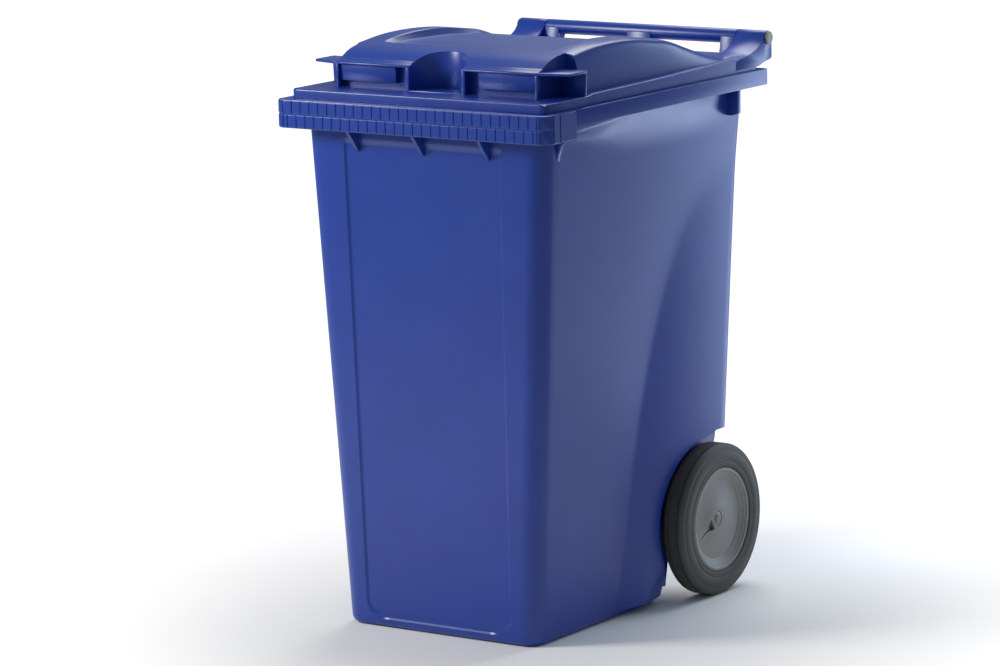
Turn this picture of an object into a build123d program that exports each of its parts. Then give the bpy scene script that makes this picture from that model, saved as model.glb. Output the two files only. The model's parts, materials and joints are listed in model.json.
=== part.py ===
from build123d import *
import os
from math import exp

# Two-wheeled wheelie bin with a hinged lid.
# +Z is up, the front of the bin faces -Y, and right is +X, as seen from the front.
# The origin is on the floor, in the middle of the bin's width and depth.

os.makedirs("parts", exist_ok=True)

# ---- Overall sizes, mm ----
bin_width = 624.0  # across the front rim
bin_depth = 829.0  # front face of the rim to the back of the handle bar
rim_top = 1022.0  # floor to the top of the rim
wall = 4.0  # blow or injection moulded wall
fit_gap = 0.06  # radial clearance of pins and axle in their holes
seat_gap = 0.6  # free play between faces that pass each other

# ---- Tub body ----
side_draft = 53.0  # each side leans in by this much from rim to base
front_draft = 19.0
rim_overhang_side = 37.0  # rim face to body side
rim_overhang_front = 41.0
base_to_axle = 116.0  # back edge of the base forward of the axle
heel_step = 10.0  # the back of the base leans out this far
heel_height = 90.0
slant_top_height = 290.0  # where the slant over the axle meets the back wall
slant_top_inset = 124.5  # from the hinge axis forward to the foot of the back wall
back_top_inset = 59.5  # from the hinge axis forward to the top of the back wall
front_corner_radius = 38.0
back_corner_radius = 28.0
base_edge_radius = 14.0
panel_recess = 3.5  # shallow panel in the front face
panel_top_inset = 94.0  # body side to panel side, at the rim
panel_base_inset = 54.0
panel_bottom = 16.0
panel_corner_radius = 36.0
panel_tool_margin = 20.0  # how far a cutting form runs past the face it cuts

# ---- Flared rear sides ----
flare_reach = 42.0  # rim face to the flare's outer face at the back
flare_depth_in = 50.0  # how far the flare's curve drops in towards the front
flare_start = 335.0  # distance back from the rim face
flare_length = 110.0  # length over which the curve runs out
flare_bottom = 12.0
flare_stations = (-1.0, -0.5, 0.0, 0.5, 1.0, 1.8, 3.0)  # in flare lengths from its start

# ---- Rim ----
rim_band_height = 54.0
rim_corner_radius = 22.0
rim_side_length = 100.0  # how far the deep band runs back along each side
rim_skin = 4.0
wing_inset = 9.0  # the thinner rim is this much narrower on each side
wing_thickness = 31.0
wing_back_inset = 14.5  # from the hinge axis forward to the back of the wings
cove_height = 97.0  # the side wall sweeps out to the rim over this height
rim_groove_width = 3.0
rim_groove_depth = 1.5
gusset_thickness = 8.0
gusset_height = 41.0
gusset_places = (-149.5, 0.0, 149.5)
side_rib_thickness = 12.0
side_rib_height = 44.0
side_rib_reach = 24.0
side_rib_places = (92.0, 686.0)  # distances back from the rim face

# ---- Handle and hinge ----
bar_radius = 14.5
hinge_rise = 58.0  # hinge axis above the rim
ear_inset = 66.5  # lid side to the ear's outer face
ear_width = 33.5
ear_radius = 17.0
handle_block_half = 28.0
web_thickness = 14.0
web_height = 18.0
pin_radius = 8.0
pin_in_ear = 28.0
pin_head_radius = 13.0
pin_head_thickness = 3.0

# ---- Lid ----
lid_side_inset = 20.0  # rim face to lid side
lid_front_inset = 28.0  # rim face to lid skirt
lid_back_inset = 36.0  # hinge axis forward to the lid's back edge
lid_gap = 0.6  # lid skirt above the rim
skirt_height = 17.4
lid_corner_radius = 14.0
lid_skin = 3.6
dome_base_inset = 30.0  # lid side to dome side, at the flange
dome_top_inset = 46.0
dome_top_rise = 104.0  # dome's highest point above the rim
hood_drop = 38.0  # crown to the dome's edge over the hood's front
dome_back_drop = 74.0  # crown to the dome's back edge
dome_back_margin = 6.0  # dome's back edge forward of the lid's
dome_cavity_front = 200.0  # rim face to the front of the hollow in the dome
# share of the way from rim face to hinge, and fall below the crown
dome_falls = (
    (0.171, 19.0),
    (0.256, 8.0),
    (0.325, 2.0),
    (0.406, 0.0),
    (0.511, 4.0),
    (0.575, 11.0),
    (0.643, 19.0),
    (0.731, 40.0),
    (0.821, 61.0),
    (0.875, 68.0),
)
sunken_falls = (
    (0.245, 8.0),
    (0.325, 13.0),
    (0.412, 15.0),
    (0.511, 18.0),
    (0.600, 24.0),
    (0.681, 33.0),
    (0.775, 49.0),
)
sunken_inset = 51.0  # top of the dome's side to the sunken panel
hood_inset = 61.0  # lid side to the front hood with the finger grips
hood_front = 92.0  # distance back from the rim face
hood_step = 187.0  # where the dome widens behind the hood
hood_roof = 66.0  # top of the hood above the rim
roof_plate = 5.0
grip_inner = 95.0
grip_undercut_depth = 18.0
grip_undercut_top = 34.0  # above the rim
grip_tip_front = 108.0
grip_tip_back = 168.0
scoop_radius = 60.0
scoop_back = 153.0
scoop_floor = 21.0  # above the rim
pillar_thickness = 8.0
pillar_front = 91.0
arm_gap = 1.0  # between lid arm and tub ear
arm_front_inset = 121.5  # hinge axis forward to where the arm leaves the lid
arm_radius = 14.5

# ---- Wheels and axle ----
wheel_radius = 150.0
wheel_track_inset = 64.0  # rim side to the wheel's inner face
wheel_width = 48.0
wheel_inset = 198.5  # hinge axis forward to the axle
arch_clearance = 14.0
arch_side_gap = 14.0  # wheel to the arch's flat wall
arch_back_top = 322.0
axle_radius = 12.0
bracket_inset = 34.0  # wheel to the middle of the outer brackets
bracket_thickness = 12.0
bracket_radius = 24.0
hub_rim_radius = 103.0
hub_barrel_radius = 27.0
hub_web_thickness = 8.0
hub_web_recess = 13.0
hub_rim_thickness = 7.0
tyre_shoulder = 9.0
groove_depth = 3.0
groove_width = 4.0
bush_wall = 3.0
bush_length = 14.0
bush_flange_radius = 19.0
bush_flange_thickness = 2.0
washer_radius = 20.0
washer_thickness = 2.0
catch_width = 9.0
catch_thickness = 6.0
catch_travel = 4.0
catch_bite = 2.0  # depth that the catch enters the axle's groove
cap_radius = 9.0
cap_thickness = 4.0

# ---- Places worked out from the sizes above ----
rim_half = bin_width / 2
rim_face = -bin_depth / 2
rim_bottom = rim_top - rim_band_height
hinge_y = bin_depth / 2 - bar_radius
hinge_z = rim_top + hinge_rise
hinge_run = hinge_y - rim_face
axle_y = hinge_y - wheel_inset
axle_z = wheel_radius
top_half = rim_half - rim_overhang_side
base_half = top_half - side_draft
flare_half = rim_half - flare_reach
wing_half = rim_half - wing_inset
panel_top_half = top_half - panel_top_inset
panel_base_half = base_half - panel_base_inset
lid_half = rim_half - lid_side_inset
dome_base_half = lid_half - dome_base_inset
dome_top_half = lid_half - dome_top_inset
sunken_half = dome_top_half - sunken_inset
hood_half = lid_half - hood_inset
ear_half_outer = lid_half - ear_inset
ear_half_inner = ear_half_outer - ear_width
wheel_half_inner = rim_half - wheel_track_inset
arch_half = wheel_half_inner - arch_side_gap
outer_bracket = wheel_half_inner - bracket_inset
bracket_places = (-outer_bracket, 0.0, outer_bracket)
base_back = axle_y - base_to_axle
lid_bottom = rim_top + lid_gap
skirt_top = lid_bottom + skirt_height
arm_inner = ear_half_outer + arm_gap
arm_outer = lid_half + 1.0
wheel_half_outer = wheel_half_inner + wheel_width
wing_back = hinge_y - wing_back_inset


def back(distance):
    """Y of a point that far behind the rim's front face."""
    return rim_face + distance


def body_half(z):
    """Half-width of the tapered body at a height."""
    return base_half + side_draft * z / rim_bottom


def body_front(z):
    """Y of the tapered body's front face at a height."""
    return back(rim_overhang_front + front_draft * (1 - z / rim_bottom))


def body_back(z):
    """Y of the back wall at a height, above the slant."""
    share = (z - slant_top_height) / (rim_bottom - slant_top_height)
    return hinge_y - slant_top_inset + (slant_top_inset - back_top_inset) * share



def side_outline(top):
    """Side view of the body: short base, slant over the axle, back wall."""
    return [
        (body_front(0), 0),
        (base_back, 0),
        (base_back + heel_step, heel_height),
        (body_back(slant_top_height), slant_top_height),
        (body_back(top), top),
        (body_front(top), top),
    ]


def body_form(inset, front_inset, top, radius_loss):
    """Tapered body drawn in on every face; the cavity is the same form, drawn in by the wall."""
    with BuildPart() as form:
        with BuildSketch(Plane.YZ):
            with BuildLine():
                Polyline(*side_outline(top), close=True)
            make_face()
            if inset:
                offset(amount=-inset, kind=Kind.INTERSECTION)
        extrude(amount=bin_width, both=True)
        with BuildSketch(Plane.XZ):
            with BuildLine():
                Polyline(
                    (-body_half(0) + inset, 0),
                    (body_half(0) - inset, 0),
                    (body_half(top) - inset, top),
                    (-body_half(top) + inset, top),
                    close=True,
                )
            make_face()
        extrude(amount=bin_depth, both=True, mode=Mode.INTERSECT)
        if front_inset:
            with BuildSketch(Plane.YZ):
                with BuildLine():
                    Polyline(
                        (body_front(0) - panel_tool_margin, 0),
                        (body_front(0) + inset + front_inset, 0),
                        (body_front(top) + inset + front_inset, top),
                        (body_front(top) - panel_tool_margin, top),
                        close=True,
                    )
                make_face()
            extrude(amount=bin_width, both=True, mode=Mode.SUBTRACT)
        upright = form.edges().filter_by(lambda e: abs(e.tangent_at(0.5).Z) > 0.9)
        fillet(upright.sort_by(Axis.Y)[:2], front_corner_radius - radius_loss)
        upright = form.edges().filter_by(lambda e: abs(e.tangent_at(0.5).Z) > 0.9)
        fillet(upright.sort_by(Axis.Y)[-2:], back_corner_radius - radius_loss)
    return form.part


def flare_curve(distance):
    """Half-width of the flared rear side at a distance back from the rim face."""
    return flare_half - flare_depth_in * exp(-(distance - flare_start) / flare_length)


def flare_form(inset, bottom, top):
    """Upright-walled rear sides that swell out over the wheels."""
    stations = [flare_start + flare_length * share for share in flare_stations]
    last = bin_depth
    with BuildPart() as form:
        with BuildSketch(Plane.XY.offset(bottom)):
            with BuildLine():
                outer = [(flare_curve(s) - inset, back(s)) for s in stations]
                outer.append((flare_curve(last) - inset, back(last)))
                Spline(*outer)
                Polyline(outer[-1], (0, back(last)), (0, outer[0][1]), outer[0])
            make_face()
            mirror(about=Plane.YZ)
        extrude(amount=top - bottom)
        with BuildSketch(Plane.YZ):
            with BuildLine():
                Polyline(*side_outline(top), close=True)
            make_face()
            if inset:
                offset(amount=-inset, kind=Kind.INTERSECTION)
        extrude(amount=bin_width, both=True, mode=Mode.INTERSECT)
        upright = form.edges().filter_by(lambda e: abs(e.tangent_at(0.5).Z) > 0.9)
        fillet(upright.sort_by(Axis.Y)[-2:], back_corner_radius - inset)
    return form.part


def arch_form(grow):
    """Room for the wheels: round over each wheel and open behind it."""
    with BuildPart() as form:
        for side in (-1, 1):
            with BuildSketch(Plane.YZ.offset(side * (arch_half - grow))):
                with Locations((axle_y, axle_z)):
                    Circle(wheel_radius + arch_clearance + grow)
                with Locations((axle_y, 0)):
                    Rectangle(bin_depth, arch_back_top + grow, align=(Align.MIN, Align.MIN))
            extrude(amount=side * bin_width)
    return form.part


def cove_form():
    """The side wall's sweep out to the wings, both sides."""
    foot = rim_top - cove_height
    with BuildPart() as form:
        with BuildSketch(Plane.XZ.offset(-back(rim_side_length - 6))):
            with BuildLine():
                Spline(
                    (body_half(foot) - 0.5, foot),
                    (body_half(foot) + 9, foot + 0.42 * cove_height),
                    (wing_half, rim_top - wing_thickness + 6),
                )
                Polyline(
                    (wing_half, rim_top - wing_thickness + 6),
                    (body_half(foot) - 2 * wall, rim_top - wing_thickness + 6),
                    (body_half(foot) - 2 * wall, foot),
                    (body_half(foot) - 0.5, foot),
                )
            make_face()
            mirror(about=Plane.YZ)
        extrude(amount=-(hinge_y - back_top_inset - 24 - back(rim_side_length - 6)))
    return form.part


def ear_outline():
    """Side view of an ear: a foot on the rim that rises to the hinge boss."""
    return [
        (hinge_y - ear_radius, hinge_z),
        (hinge_y - ear_radius, hinge_z - 4),
        (wing_back - web_thickness, rim_top - 6),
        (wing_back, rim_top - 6),
        (hinge_y + ear_radius * 0.6, hinge_z - ear_radius * 0.8),
        (hinge_y, hinge_z),
    ]


def panel_form():
    """Tool for the shallow panel: as wide as the panel, as deep as its recess."""
    panel_top = rim_bottom - gusset_height / 2
    with BuildPart() as form:
        with BuildSketch(Plane.XZ) as face:
            with BuildLine():
                Polyline(
                    (-panel_base_half, panel_bottom),
                    (panel_base_half, panel_bottom),
                    (panel_top_half, panel_top),
                    (-panel_top_half, panel_top),
                    close=True,
                )
            make_face()
            fillet(face.vertices().group_by(Axis.Y)[0], panel_corner_radius)
        extrude(amount=bin_depth, both=True)
        with BuildSketch(Plane.YZ):
            with BuildLine():
                Polyline(
                    (body_front(0) - panel_tool_margin, 0),
                    (body_front(0) + panel_recess, 0),
                    (body_front(rim_bottom) + panel_recess, rim_bottom),
                    (body_front(rim_bottom) - panel_tool_margin, rim_bottom),
                    close=True,
                )
            make_face()
        extrude(amount=bin_width, both=True, mode=Mode.INTERSECT)
    return form.part


cavity_body = body_form(wall, panel_recess, rim_top + 40, wall)
cavity_flare = flare_form(wall, flare_bottom + wall, rim_top - cove_height + 30)
cavity_arch = arch_form(wall)
outer_body = body_form(0, 0, rim_top - 2, 0)
outer_flare = flare_form(0, flare_bottom, rim_top - cove_height + 40)
outer_arch = arch_form(0)
side_coves = cove_form()
front_panel = panel_form()

# ---- Tub: body, rim, handle bar and axle brackets, moulded in one ----
with BuildPart() as moulding:
    add(outer_body)
    fillet(moulding.faces().sort_by(Axis.Z)[0].edges(), base_edge_radius)
    add(outer_flare)
    add(outer_arch, mode=Mode.SUBTRACT)
    add(side_coves)
    # deep rim band at the front
    with BuildSketch(Plane.XY.offset(rim_bottom)) as band:
        with Locations((0, rim_face)):
            Rectangle(2 * rim_half, rim_side_length, align=(Align.CENTER, Align.MIN))
        fillet(band.vertices().group_by(Axis.Y)[0], rim_corner_radius)
    extrude(amount=rim_band_height)
    # thinner rim along the sides and back
    with BuildSketch(Plane.XY.offset(rim_top - wing_thickness)) as wing:
        with Locations((0, wing_back)):
            Rectangle(
                2 * wing_half,
                wing_back - back(rim_side_length - 10),
                align=(Align.CENTER, Align.MAX),
            )
        fillet(wing.vertices().group_by(Axis.Y)[-1], rim_corner_radius / 2)
    extrude(amount=wing_thickness)
    # hollow under the front rim, where a lifting comb enters
    comb_room = rim_overhang_front - 2 * rim_skin
    with BuildSketch(Plane.XY.offset(rim_bottom)):
        with Locations((0, back(rim_skin))):
            Rectangle(2 * (top_half - 6), comb_room, align=(Align.CENTER, Align.MIN))
    extrude(amount=rim_band_height - 2 * rim_skin, mode=Mode.SUBTRACT)
    # groove between the rim's two rows
    with BuildSketch(Plane.XY.offset(rim_bottom + (rim_band_height - rim_groove_width) / 2)):
        with Locations((0, rim_face)):
            Rectangle(2 * (rim_half - 2 * rim_corner_radius), 2 * rim_groove_depth)
    extrude(amount=rim_groove_width, mode=Mode.SUBTRACT)
    # triangular gussets under the front rim
    for place in gusset_places:
        with BuildSketch(Plane.YZ.offset(place - gusset_thickness / 2)):
            with BuildLine():
                Polyline(
                    (back(rim_overhang_front + 3), rim_bottom - gusset_height),
                    (back(10), rim_bottom),
                    (back(rim_skin - 1), rim_bottom + 12),
                    (back(rim_skin - 1), rim_top - rim_skin),
                    (back(rim_overhang_front + 3), rim_top - rim_skin),
                    close=True,
                )
            make_face()
        extrude(amount=gusset_thickness)
    # ribs under the side rim
    for place in side_rib_places:
        for side in (-1, 1):
            with Locations((side * (top_half - 6), back(place), rim_bottom + 16)):
                Box(
                    2 * side_rib_reach + 2,
                    side_rib_thickness,
                    side_rib_height + 14,
                    align=(Align.CENTER, Align.MIN, Align.MAX),
                )
    # hinge ears, the block in the middle of the handle, and the web between them
    for start, width in (
        (-ear_half_outer, ear_width),
        (-handle_block_half, 2 * handle_block_half),
        (ear_half_inner, ear_width),
    ):
        with BuildSketch(Plane.YZ.offset(start)):
            with BuildLine():
                Polyline(*ear_outline(), close=True)
            make_face()
        extrude(amount=width)
    with Locations((0, wing_back, rim_top - 4)):
        Box(
            2 * ear_half_outer - 2,
            web_thickness - 1,
            web_height + 4,
            align=(Align.CENTER, Align.MAX, Align.MIN),
        )
    with BuildSketch(Plane.YZ.offset(-ear_half_outer)):
        with Locations((hinge_y, hinge_z)):
            Circle(bar_radius)
    extrude(amount=2 * ear_half_outer)
    # axle brackets: plates that hang from the slant
    for place in bracket_places:
        with BuildSketch(Plane.YZ.offset(place - bracket_thickness / 2)):
            with BuildLine():
                Polyline(
                    (base_back, heel_height * 0.6),
                    (axle_y, axle_z - bracket_radius),
                    (axle_y + bracket_radius, axle_z),
                    (body_back(slant_top_height) - 40, slant_top_height - 30),
                    (base_back + heel_step, heel_height + 12),
                    close=True,
                )
            make_face()
            with Locations((axle_y, axle_z)):
                Circle(bracket_radius)
        extrude(amount=bracket_thickness)
    # cavity
    add(cavity_body - cavity_arch, mode=Mode.SUBTRACT)
    add(cavity_flare - cavity_arch, mode=Mode.SUBTRACT)
    # shallow front panel
    add(front_panel, mode=Mode.SUBTRACT)
    # holes for the axle and the hinge pins
    with BuildSketch(Plane.YZ.offset(-base_half)):
        with Locations((axle_y, axle_z)):
            Circle(axle_radius + fit_gap)
    extrude(amount=2 * base_half, mode=Mode.SUBTRACT)
    for side in (-1, 1):
        with BuildSketch(Plane.YZ.offset(side * ear_half_outer)):
            with Locations((hinge_y, hinge_z)):
                Circle(pin_radius + fit_gap / 2)
        extrude(amount=-side * pin_in_ear, mode=Mode.SUBTRACT)

# The one moulding is kept as three pieces that meet face to face: body, rim and handle.
with BuildPart() as tub:
    add(moulding.part)
    split(bisect_by=Plane.XY.offset(rim_top - cove_height), keep=Keep.BOTTOM)
tub.part.label = "tub"

with BuildPart() as tub_rim:
    add(moulding.part)
    split(bisect_by=Plane.XY.offset(rim_top), keep=Keep.BOTTOM)
    split(bisect_by=Plane.XY.offset(rim_top - cove_height), keep=Keep.TOP)
tub_rim.part.label = "tub_rim"

with BuildPart() as tub_handle:
    add(moulding.part)
    split(bisect_by=Plane.XY.offset(rim_top), keep=Keep.TOP)
tub_handle.part.label = "tub_handle"


def dome_outline(drop, front_cut):
    """Side view of the lid's dome, from the hood's front to the back, lowered by drop."""
    crown = rim_top + dome_top_rise
    heights = [(hood_front, crown - hood_drop)]
    heights += [(share * hinge_run, crown - fall) for share, fall in dome_falls]
    heights.append((hinge_run - lid_back_inset - dome_back_margin, crown - dome_back_drop))
    return [(back(y), z - drop) for y, z in heights if y >= front_cut]


def dome_form(inset, front_cut, low):
    """The lid's dome: the side outline, kept between sloping sides, down to a height."""
    outline = dome_outline(inset, front_cut)
    first, last = outline[0], outline[-1]
    with BuildPart() as form:
        with BuildSketch(Plane.YZ):
            with BuildLine():
                Spline(*[(y + (inset if (y, z) == first else 0), z) for y, z in outline])
                Polyline(last, (last[0], low), (first[0] + inset, low), (first[0] + inset, first[1]))
            make_face()
        extrude(amount=bin_width / 2, both=True)
        with BuildSketch(Plane.XZ):
            with BuildLine():
                Polyline(
                    (-dome_base_half + inset, low),
                    (dome_base_half - inset, low),
                    (dome_top_half - inset, rim_top + dome_top_rise + 10),
                    (-dome_top_half + inset, rim_top + dome_top_rise + 10),
                    close=True,
                )
            make_face()
        extrude(amount=bin_depth, both=True, mode=Mode.INTERSECT)
    return form.part


def sunken_form(grow):
    """Everything above the sunken panel between the dome's two humps, grown on all sides."""
    crown = rim_top + dome_top_rise
    floor = [(back(share * hinge_run), crown - fall - grow) for share, fall in sunken_falls]
    high = crown + panel_tool_margin
    with BuildPart() as form:
        with BuildSketch(Plane.YZ):
            with BuildLine():
                Spline(*floor)
                Polyline(
                    floor[-1],
                    (floor[-1][0] + grow, high),
                    (floor[0][0] - grow, high),
                    floor[0],
                )
            make_face()
        extrude(amount=sunken_half + grow, both=True)
    return form.part


outer_dome = dome_form(0, 0, skirt_top - lid_skin / 2)
sunken_panel = sunken_form(0)
cavity_dome = dome_form(lid_skin, dome_cavity_front, lid_bottom - 10) - sunken_form(lid_skin)
lid_back = hinge_y - lid_back_inset
roof_top = rim_top + hood_roof

# ---- Lid: flange, dome, hood with finger grips, scoop and hinge arms ----
with BuildPart() as lid:
    with BuildSketch(Plane.XY.offset(lid_bottom)) as flange:
        with Locations((0, back(lid_front_inset))):
            Rectangle(
                2 * lid_half,
                lid_back - back(lid_front_inset),
                align=(Align.CENTER, Align.MIN),
            )
        fillet(flange.vertices(), lid_corner_radius)
    extrude(amount=skirt_height)
    add(outer_dome)
    # the hood in front is narrower than the dome behind it
    for side in (-1, 1):
        with Locations((side * hood_half, back(0), skirt_top)):
            Box(
                dome_base_half,
                hood_step,
                dome_top_rise + 20,
                align=(Align.MIN if side > 0 else Align.MAX, Align.MIN, Align.MIN),
                mode=Mode.SUBTRACT,
            )
    # sunken panel between the dome's two humps
    add(sunken_panel, mode=Mode.SUBTRACT)
    # roof plates that reach out over the front corners, each with an end rib
    with BuildSketch(Plane.XY.offset(roof_top - roof_plate)):
        with BuildLine():
            Polyline(
                (hood_half - 8, back(hood_front)),
                (hood_half, back(hood_front)),
                (lid_half, back(grip_tip_front)),
                (lid_half, back(grip_tip_back)),
                (hood_half - 8, back(grip_tip_back)),
                close=True,
            )
        make_face()
        mirror(about=Plane.YZ)
    extrude(amount=roof_plate)
    for side in (-1, 1):
        with Locations((side * (lid_half - 2), back(grip_tip_back), skirt_top - 4)):
            Box(
                lid_half - hood_half + 2,
                roof_plate,
                roof_top - skirt_top + 2,
                align=(Align.MAX if side > 0 else Align.MIN, Align.MAX, Align.MIN),
            )
    # pillars beside the scoop
    for side in (-1, 1):
        with Locations((side * scoop_radius, back(pillar_front), skirt_top - 4)):
            Box(
                pillar_thickness,
                hood_front - pillar_front + 10,
                roof_top - skirt_top + 2,
                align=(Align.MIN if side > 0 else Align.MAX, Align.MIN, Align.MIN),
            )
    # half-round scoop in the middle
    with BuildSketch(Plane.XY.offset(rim_top + scoop_floor)):
        with Locations((0, back(scoop_back) - scoop_radius)):
            Circle(scoop_radius)
            Rectangle(2 * scoop_radius, scoop_back, align=(Align.CENTER, Align.MAX))
    extrude(amount=dome_top_rise, mode=Mode.SUBTRACT)
    # finger grips: a slot beside each pillar and an undercut below the hood's front
    for side in (-1, 1):
        slot_start = scoop_radius + pillar_thickness
        with Locations((side * slot_start, back(pillar_front), skirt_top)):
            Box(
                grip_inner - slot_start,
                hood_front - pillar_front + 3 * grip_undercut_depth,
                roof_top - roof_plate - skirt_top,
                align=(Align.MIN if side > 0 else Align.MAX, Align.MIN, Align.MIN),
                mode=Mode.SUBTRACT,
            )
        with Locations((side * grip_inner, back(hood_front) - 1, skirt_top)):
            Box(
                hood_half - grip_inner + 1,
                grip_undercut_depth + 1,
                rim_top + grip_undercut_top - skirt_top,
                align=(Align.MIN if side > 0 else Align.MAX, Align.MIN, Align.MIN),
                mode=Mode.SUBTRACT,
            )
    # inside of the dome and of the skirt
    add(cavity_dome, mode=Mode.SUBTRACT)
    for side in (-1, 1):
        with Locations((side * (grip_inner + lid_skin), back(hood_front) + 1.4 * grip_undercut_depth, 0)):
            Box(
                hood_half - grip_inner - 2 * lid_skin,
                hood_step - hood_front - 1.4 * grip_undercut_depth + 24,
                roof_top - lid_skin,
                align=(Align.MIN if side > 0 else Align.MAX, Align.MIN, Align.MIN),
                mode=Mode.SUBTRACT,
            )
    with BuildSketch(Plane.XY.offset(lid_bottom - 1)) as hollow:
        with Locations((0, back(lid_front_inset) + lid_skin)):
            Rectangle(
                2 * (lid_half - lid_skin),
                lid_back - back(lid_front_inset) - 2 * lid_skin,
                align=(Align.CENTER, Align.MIN),
            )
        fillet(hollow.vertices(), lid_corner_radius - lid_skin)
    extrude(amount=skirt_height - lid_skin + 1, mode=Mode.SUBTRACT)
    # hinge arms at the back corners
    for side in (-1, 1):
        with BuildSketch(Plane.YZ.offset(side * arm_inner)):
            with BuildLine():
                Polyline(
                    (hinge_y - arm_front_inset, skirt_top - 6),
                    (hinge_y - arm_front_inset, skirt_top + 22),
                    (hinge_y - 46, skirt_top + 26),
                    (hinge_y - 27, skirt_top + 34),
                    (hinge_y - 12, hinge_z),
                    (hinge_y + 9, hinge_z - 6),
                    (hinge_y + 8.5, hinge_z - 38),
                    (hinge_y - 16.5, hinge_z - 45),
                    (hinge_y - 36, rim_top + 6),
                    (hinge_y - 60, rim_top + 6),
                    close=True,
                )
            make_face()
            with Locations((hinge_y, hinge_z)):
                Circle(arm_radius)
        extrude(amount=side * (arm_outer - arm_inner))
        with BuildSketch(Plane.YZ.offset(side * arm_inner)):
            with Locations((hinge_y, hinge_z)):
                Circle(pin_radius + fit_gap)
        extrude(amount=side * (arm_outer - arm_inner), mode=Mode.SUBTRACT)
lid.part.label = "lid"

# ---- Hinge pins: pushed through the lid arms into the tub's ears ----
with BuildPart() as hinge_pin_right:
    with BuildSketch(Plane.YZ.offset(ear_half_outer - pin_in_ear + 1)):
        with Locations((hinge_y, hinge_z)):
            Circle(pin_radius)
    extrude(amount=arm_outer + seat_gap - (ear_half_outer - pin_in_ear + 1))
    with BuildSketch(Plane.YZ.offset(arm_outer + seat_gap)):
        with Locations((hinge_y, hinge_z)):
            Circle(pin_head_radius)
    extrude(amount=pin_head_thickness)
    fillet(hinge_pin_right.faces().sort_by(Axis.X)[-1].edges(), pin_head_thickness / 3)
hinge_pin_right.part.label = "hinge_pin_right"

with BuildPart() as hinge_pin_left:
    add(mirror(hinge_pin_right.part, about=Plane.YZ, mode=Mode.PRIVATE))
hinge_pin_left.part.label = "hinge_pin_left"

# ---- Axle: one steel bar with a groove near each end for the catches ----
bracket_face = bracket_places[-1] + bracket_thickness / 2
washer_start = bracket_face + seat_gap / 2
barrel_start = washer_start + washer_thickness + bush_flange_thickness + seat_gap
web_outer = wheel_half_outer - hub_web_recess
web_inner = web_outer - hub_web_thickness
axle_end = web_outer - cap_thickness
catch_x = (barrel_start + bush_length + web_inner) / 2 - 4
bush_outer_radius = axle_radius + fit_gap + bush_wall

with BuildPart() as axle:
    with BuildSketch(Plane.YZ.offset(-axle_end)):
        with Locations((axle_y, axle_z)):
            Circle(axle_radius)
    extrude(amount=2 * axle_end)
    chamfer(axle.edges().filter_by(GeomType.CIRCLE), 1.5)
    for side in (-1, 1):
        with BuildSketch(Plane.YZ.offset(side * catch_x - catch_thickness / 2 - seat_gap)):
            with Locations((axle_y, axle_z)):
                Circle(axle_radius + 1)
                Circle(axle_radius - catch_bite - 2 * seat_gap, mode=Mode.SUBTRACT)
        extrude(amount=catch_thickness + 2 * seat_gap, mode=Mode.SUBTRACT)
axle.part.label = "axle"

# ---- Right wheel ----
wheel_plane = Plane((0, axle_y, axle_z), x_dir=(1, 0, 0), z_dir=(0, -1, 0))
wheel_axis = Axis((0, axle_y, axle_z), (1, 0, 0))
catch_angle = 206.0  # direction of the catch about the axle, from +Y towards +Z
rim_inner_radius = hub_rim_radius - hub_rim_thickness


def catch_block(start, length, width, x_low, x_high):
    """Block that lies along the catch's direction from the axle."""
    block = Box(x_high - x_low, length, width, align=(Align.MIN, Align.MIN, Align.CENTER), mode=Mode.PRIVATE)
    turned = Rot(catch_angle, 0, 0) * Pos(x_low, start, 0) * block
    return Pos(0, axle_y, axle_z) * turned


barrel_bite = axle_radius - catch_bite
tab_start = hub_barrel_radius + 3
tab_length = 9.0
guide_room = catch_block(0, hub_barrel_radius + 12, catch_width + 2 * seat_gap,
                         catch_x - catch_thickness / 2 - seat_gap, catch_x + catch_thickness / 2 + seat_gap)
tab_room = catch_block(tab_start - 3, tab_length + catch_travel + 6, catch_width + 2 * seat_gap,
                       catch_x, web_outer + 1)
catch_stem = catch_block(barrel_bite, tab_start + tab_length - barrel_bite, catch_width,
                         catch_x - catch_thickness / 2, catch_x + catch_thickness / 2)
catch_tab = catch_block(tab_start, tab_length, catch_width, catch_x, web_outer - 1)

with BuildPart() as wheel_hub_right:
    with BuildSketch(wheel_plane):
        with BuildLine():
            Polyline(
                (barrel_start, bush_outer_radius),
                (barrel_start, hub_barrel_radius),
                (web_inner, hub_barrel_radius),
                (web_inner, rim_inner_radius - 4),
                (wheel_half_inner + 6, rim_inner_radius),
                (wheel_half_inner + 6, hub_rim_radius),
                (wheel_half_outer - 4, hub_rim_radius),
                (wheel_half_outer - 2, hub_rim_radius - 3),
                (wheel_half_outer - 2, rim_inner_radius - 5),
                (web_outer + 4, rim_inner_radius - 10),
                (web_outer, rim_inner_radius - 12),
                (web_outer, bush_outer_radius),
                close=True,
            )
        make_face()
    revolve(axis=wheel_axis)
    add(guide_room, mode=Mode.SUBTRACT)
    add(tab_room, mode=Mode.SUBTRACT)
wheel_hub_right.part.label = "wheel_hub_right"

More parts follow.
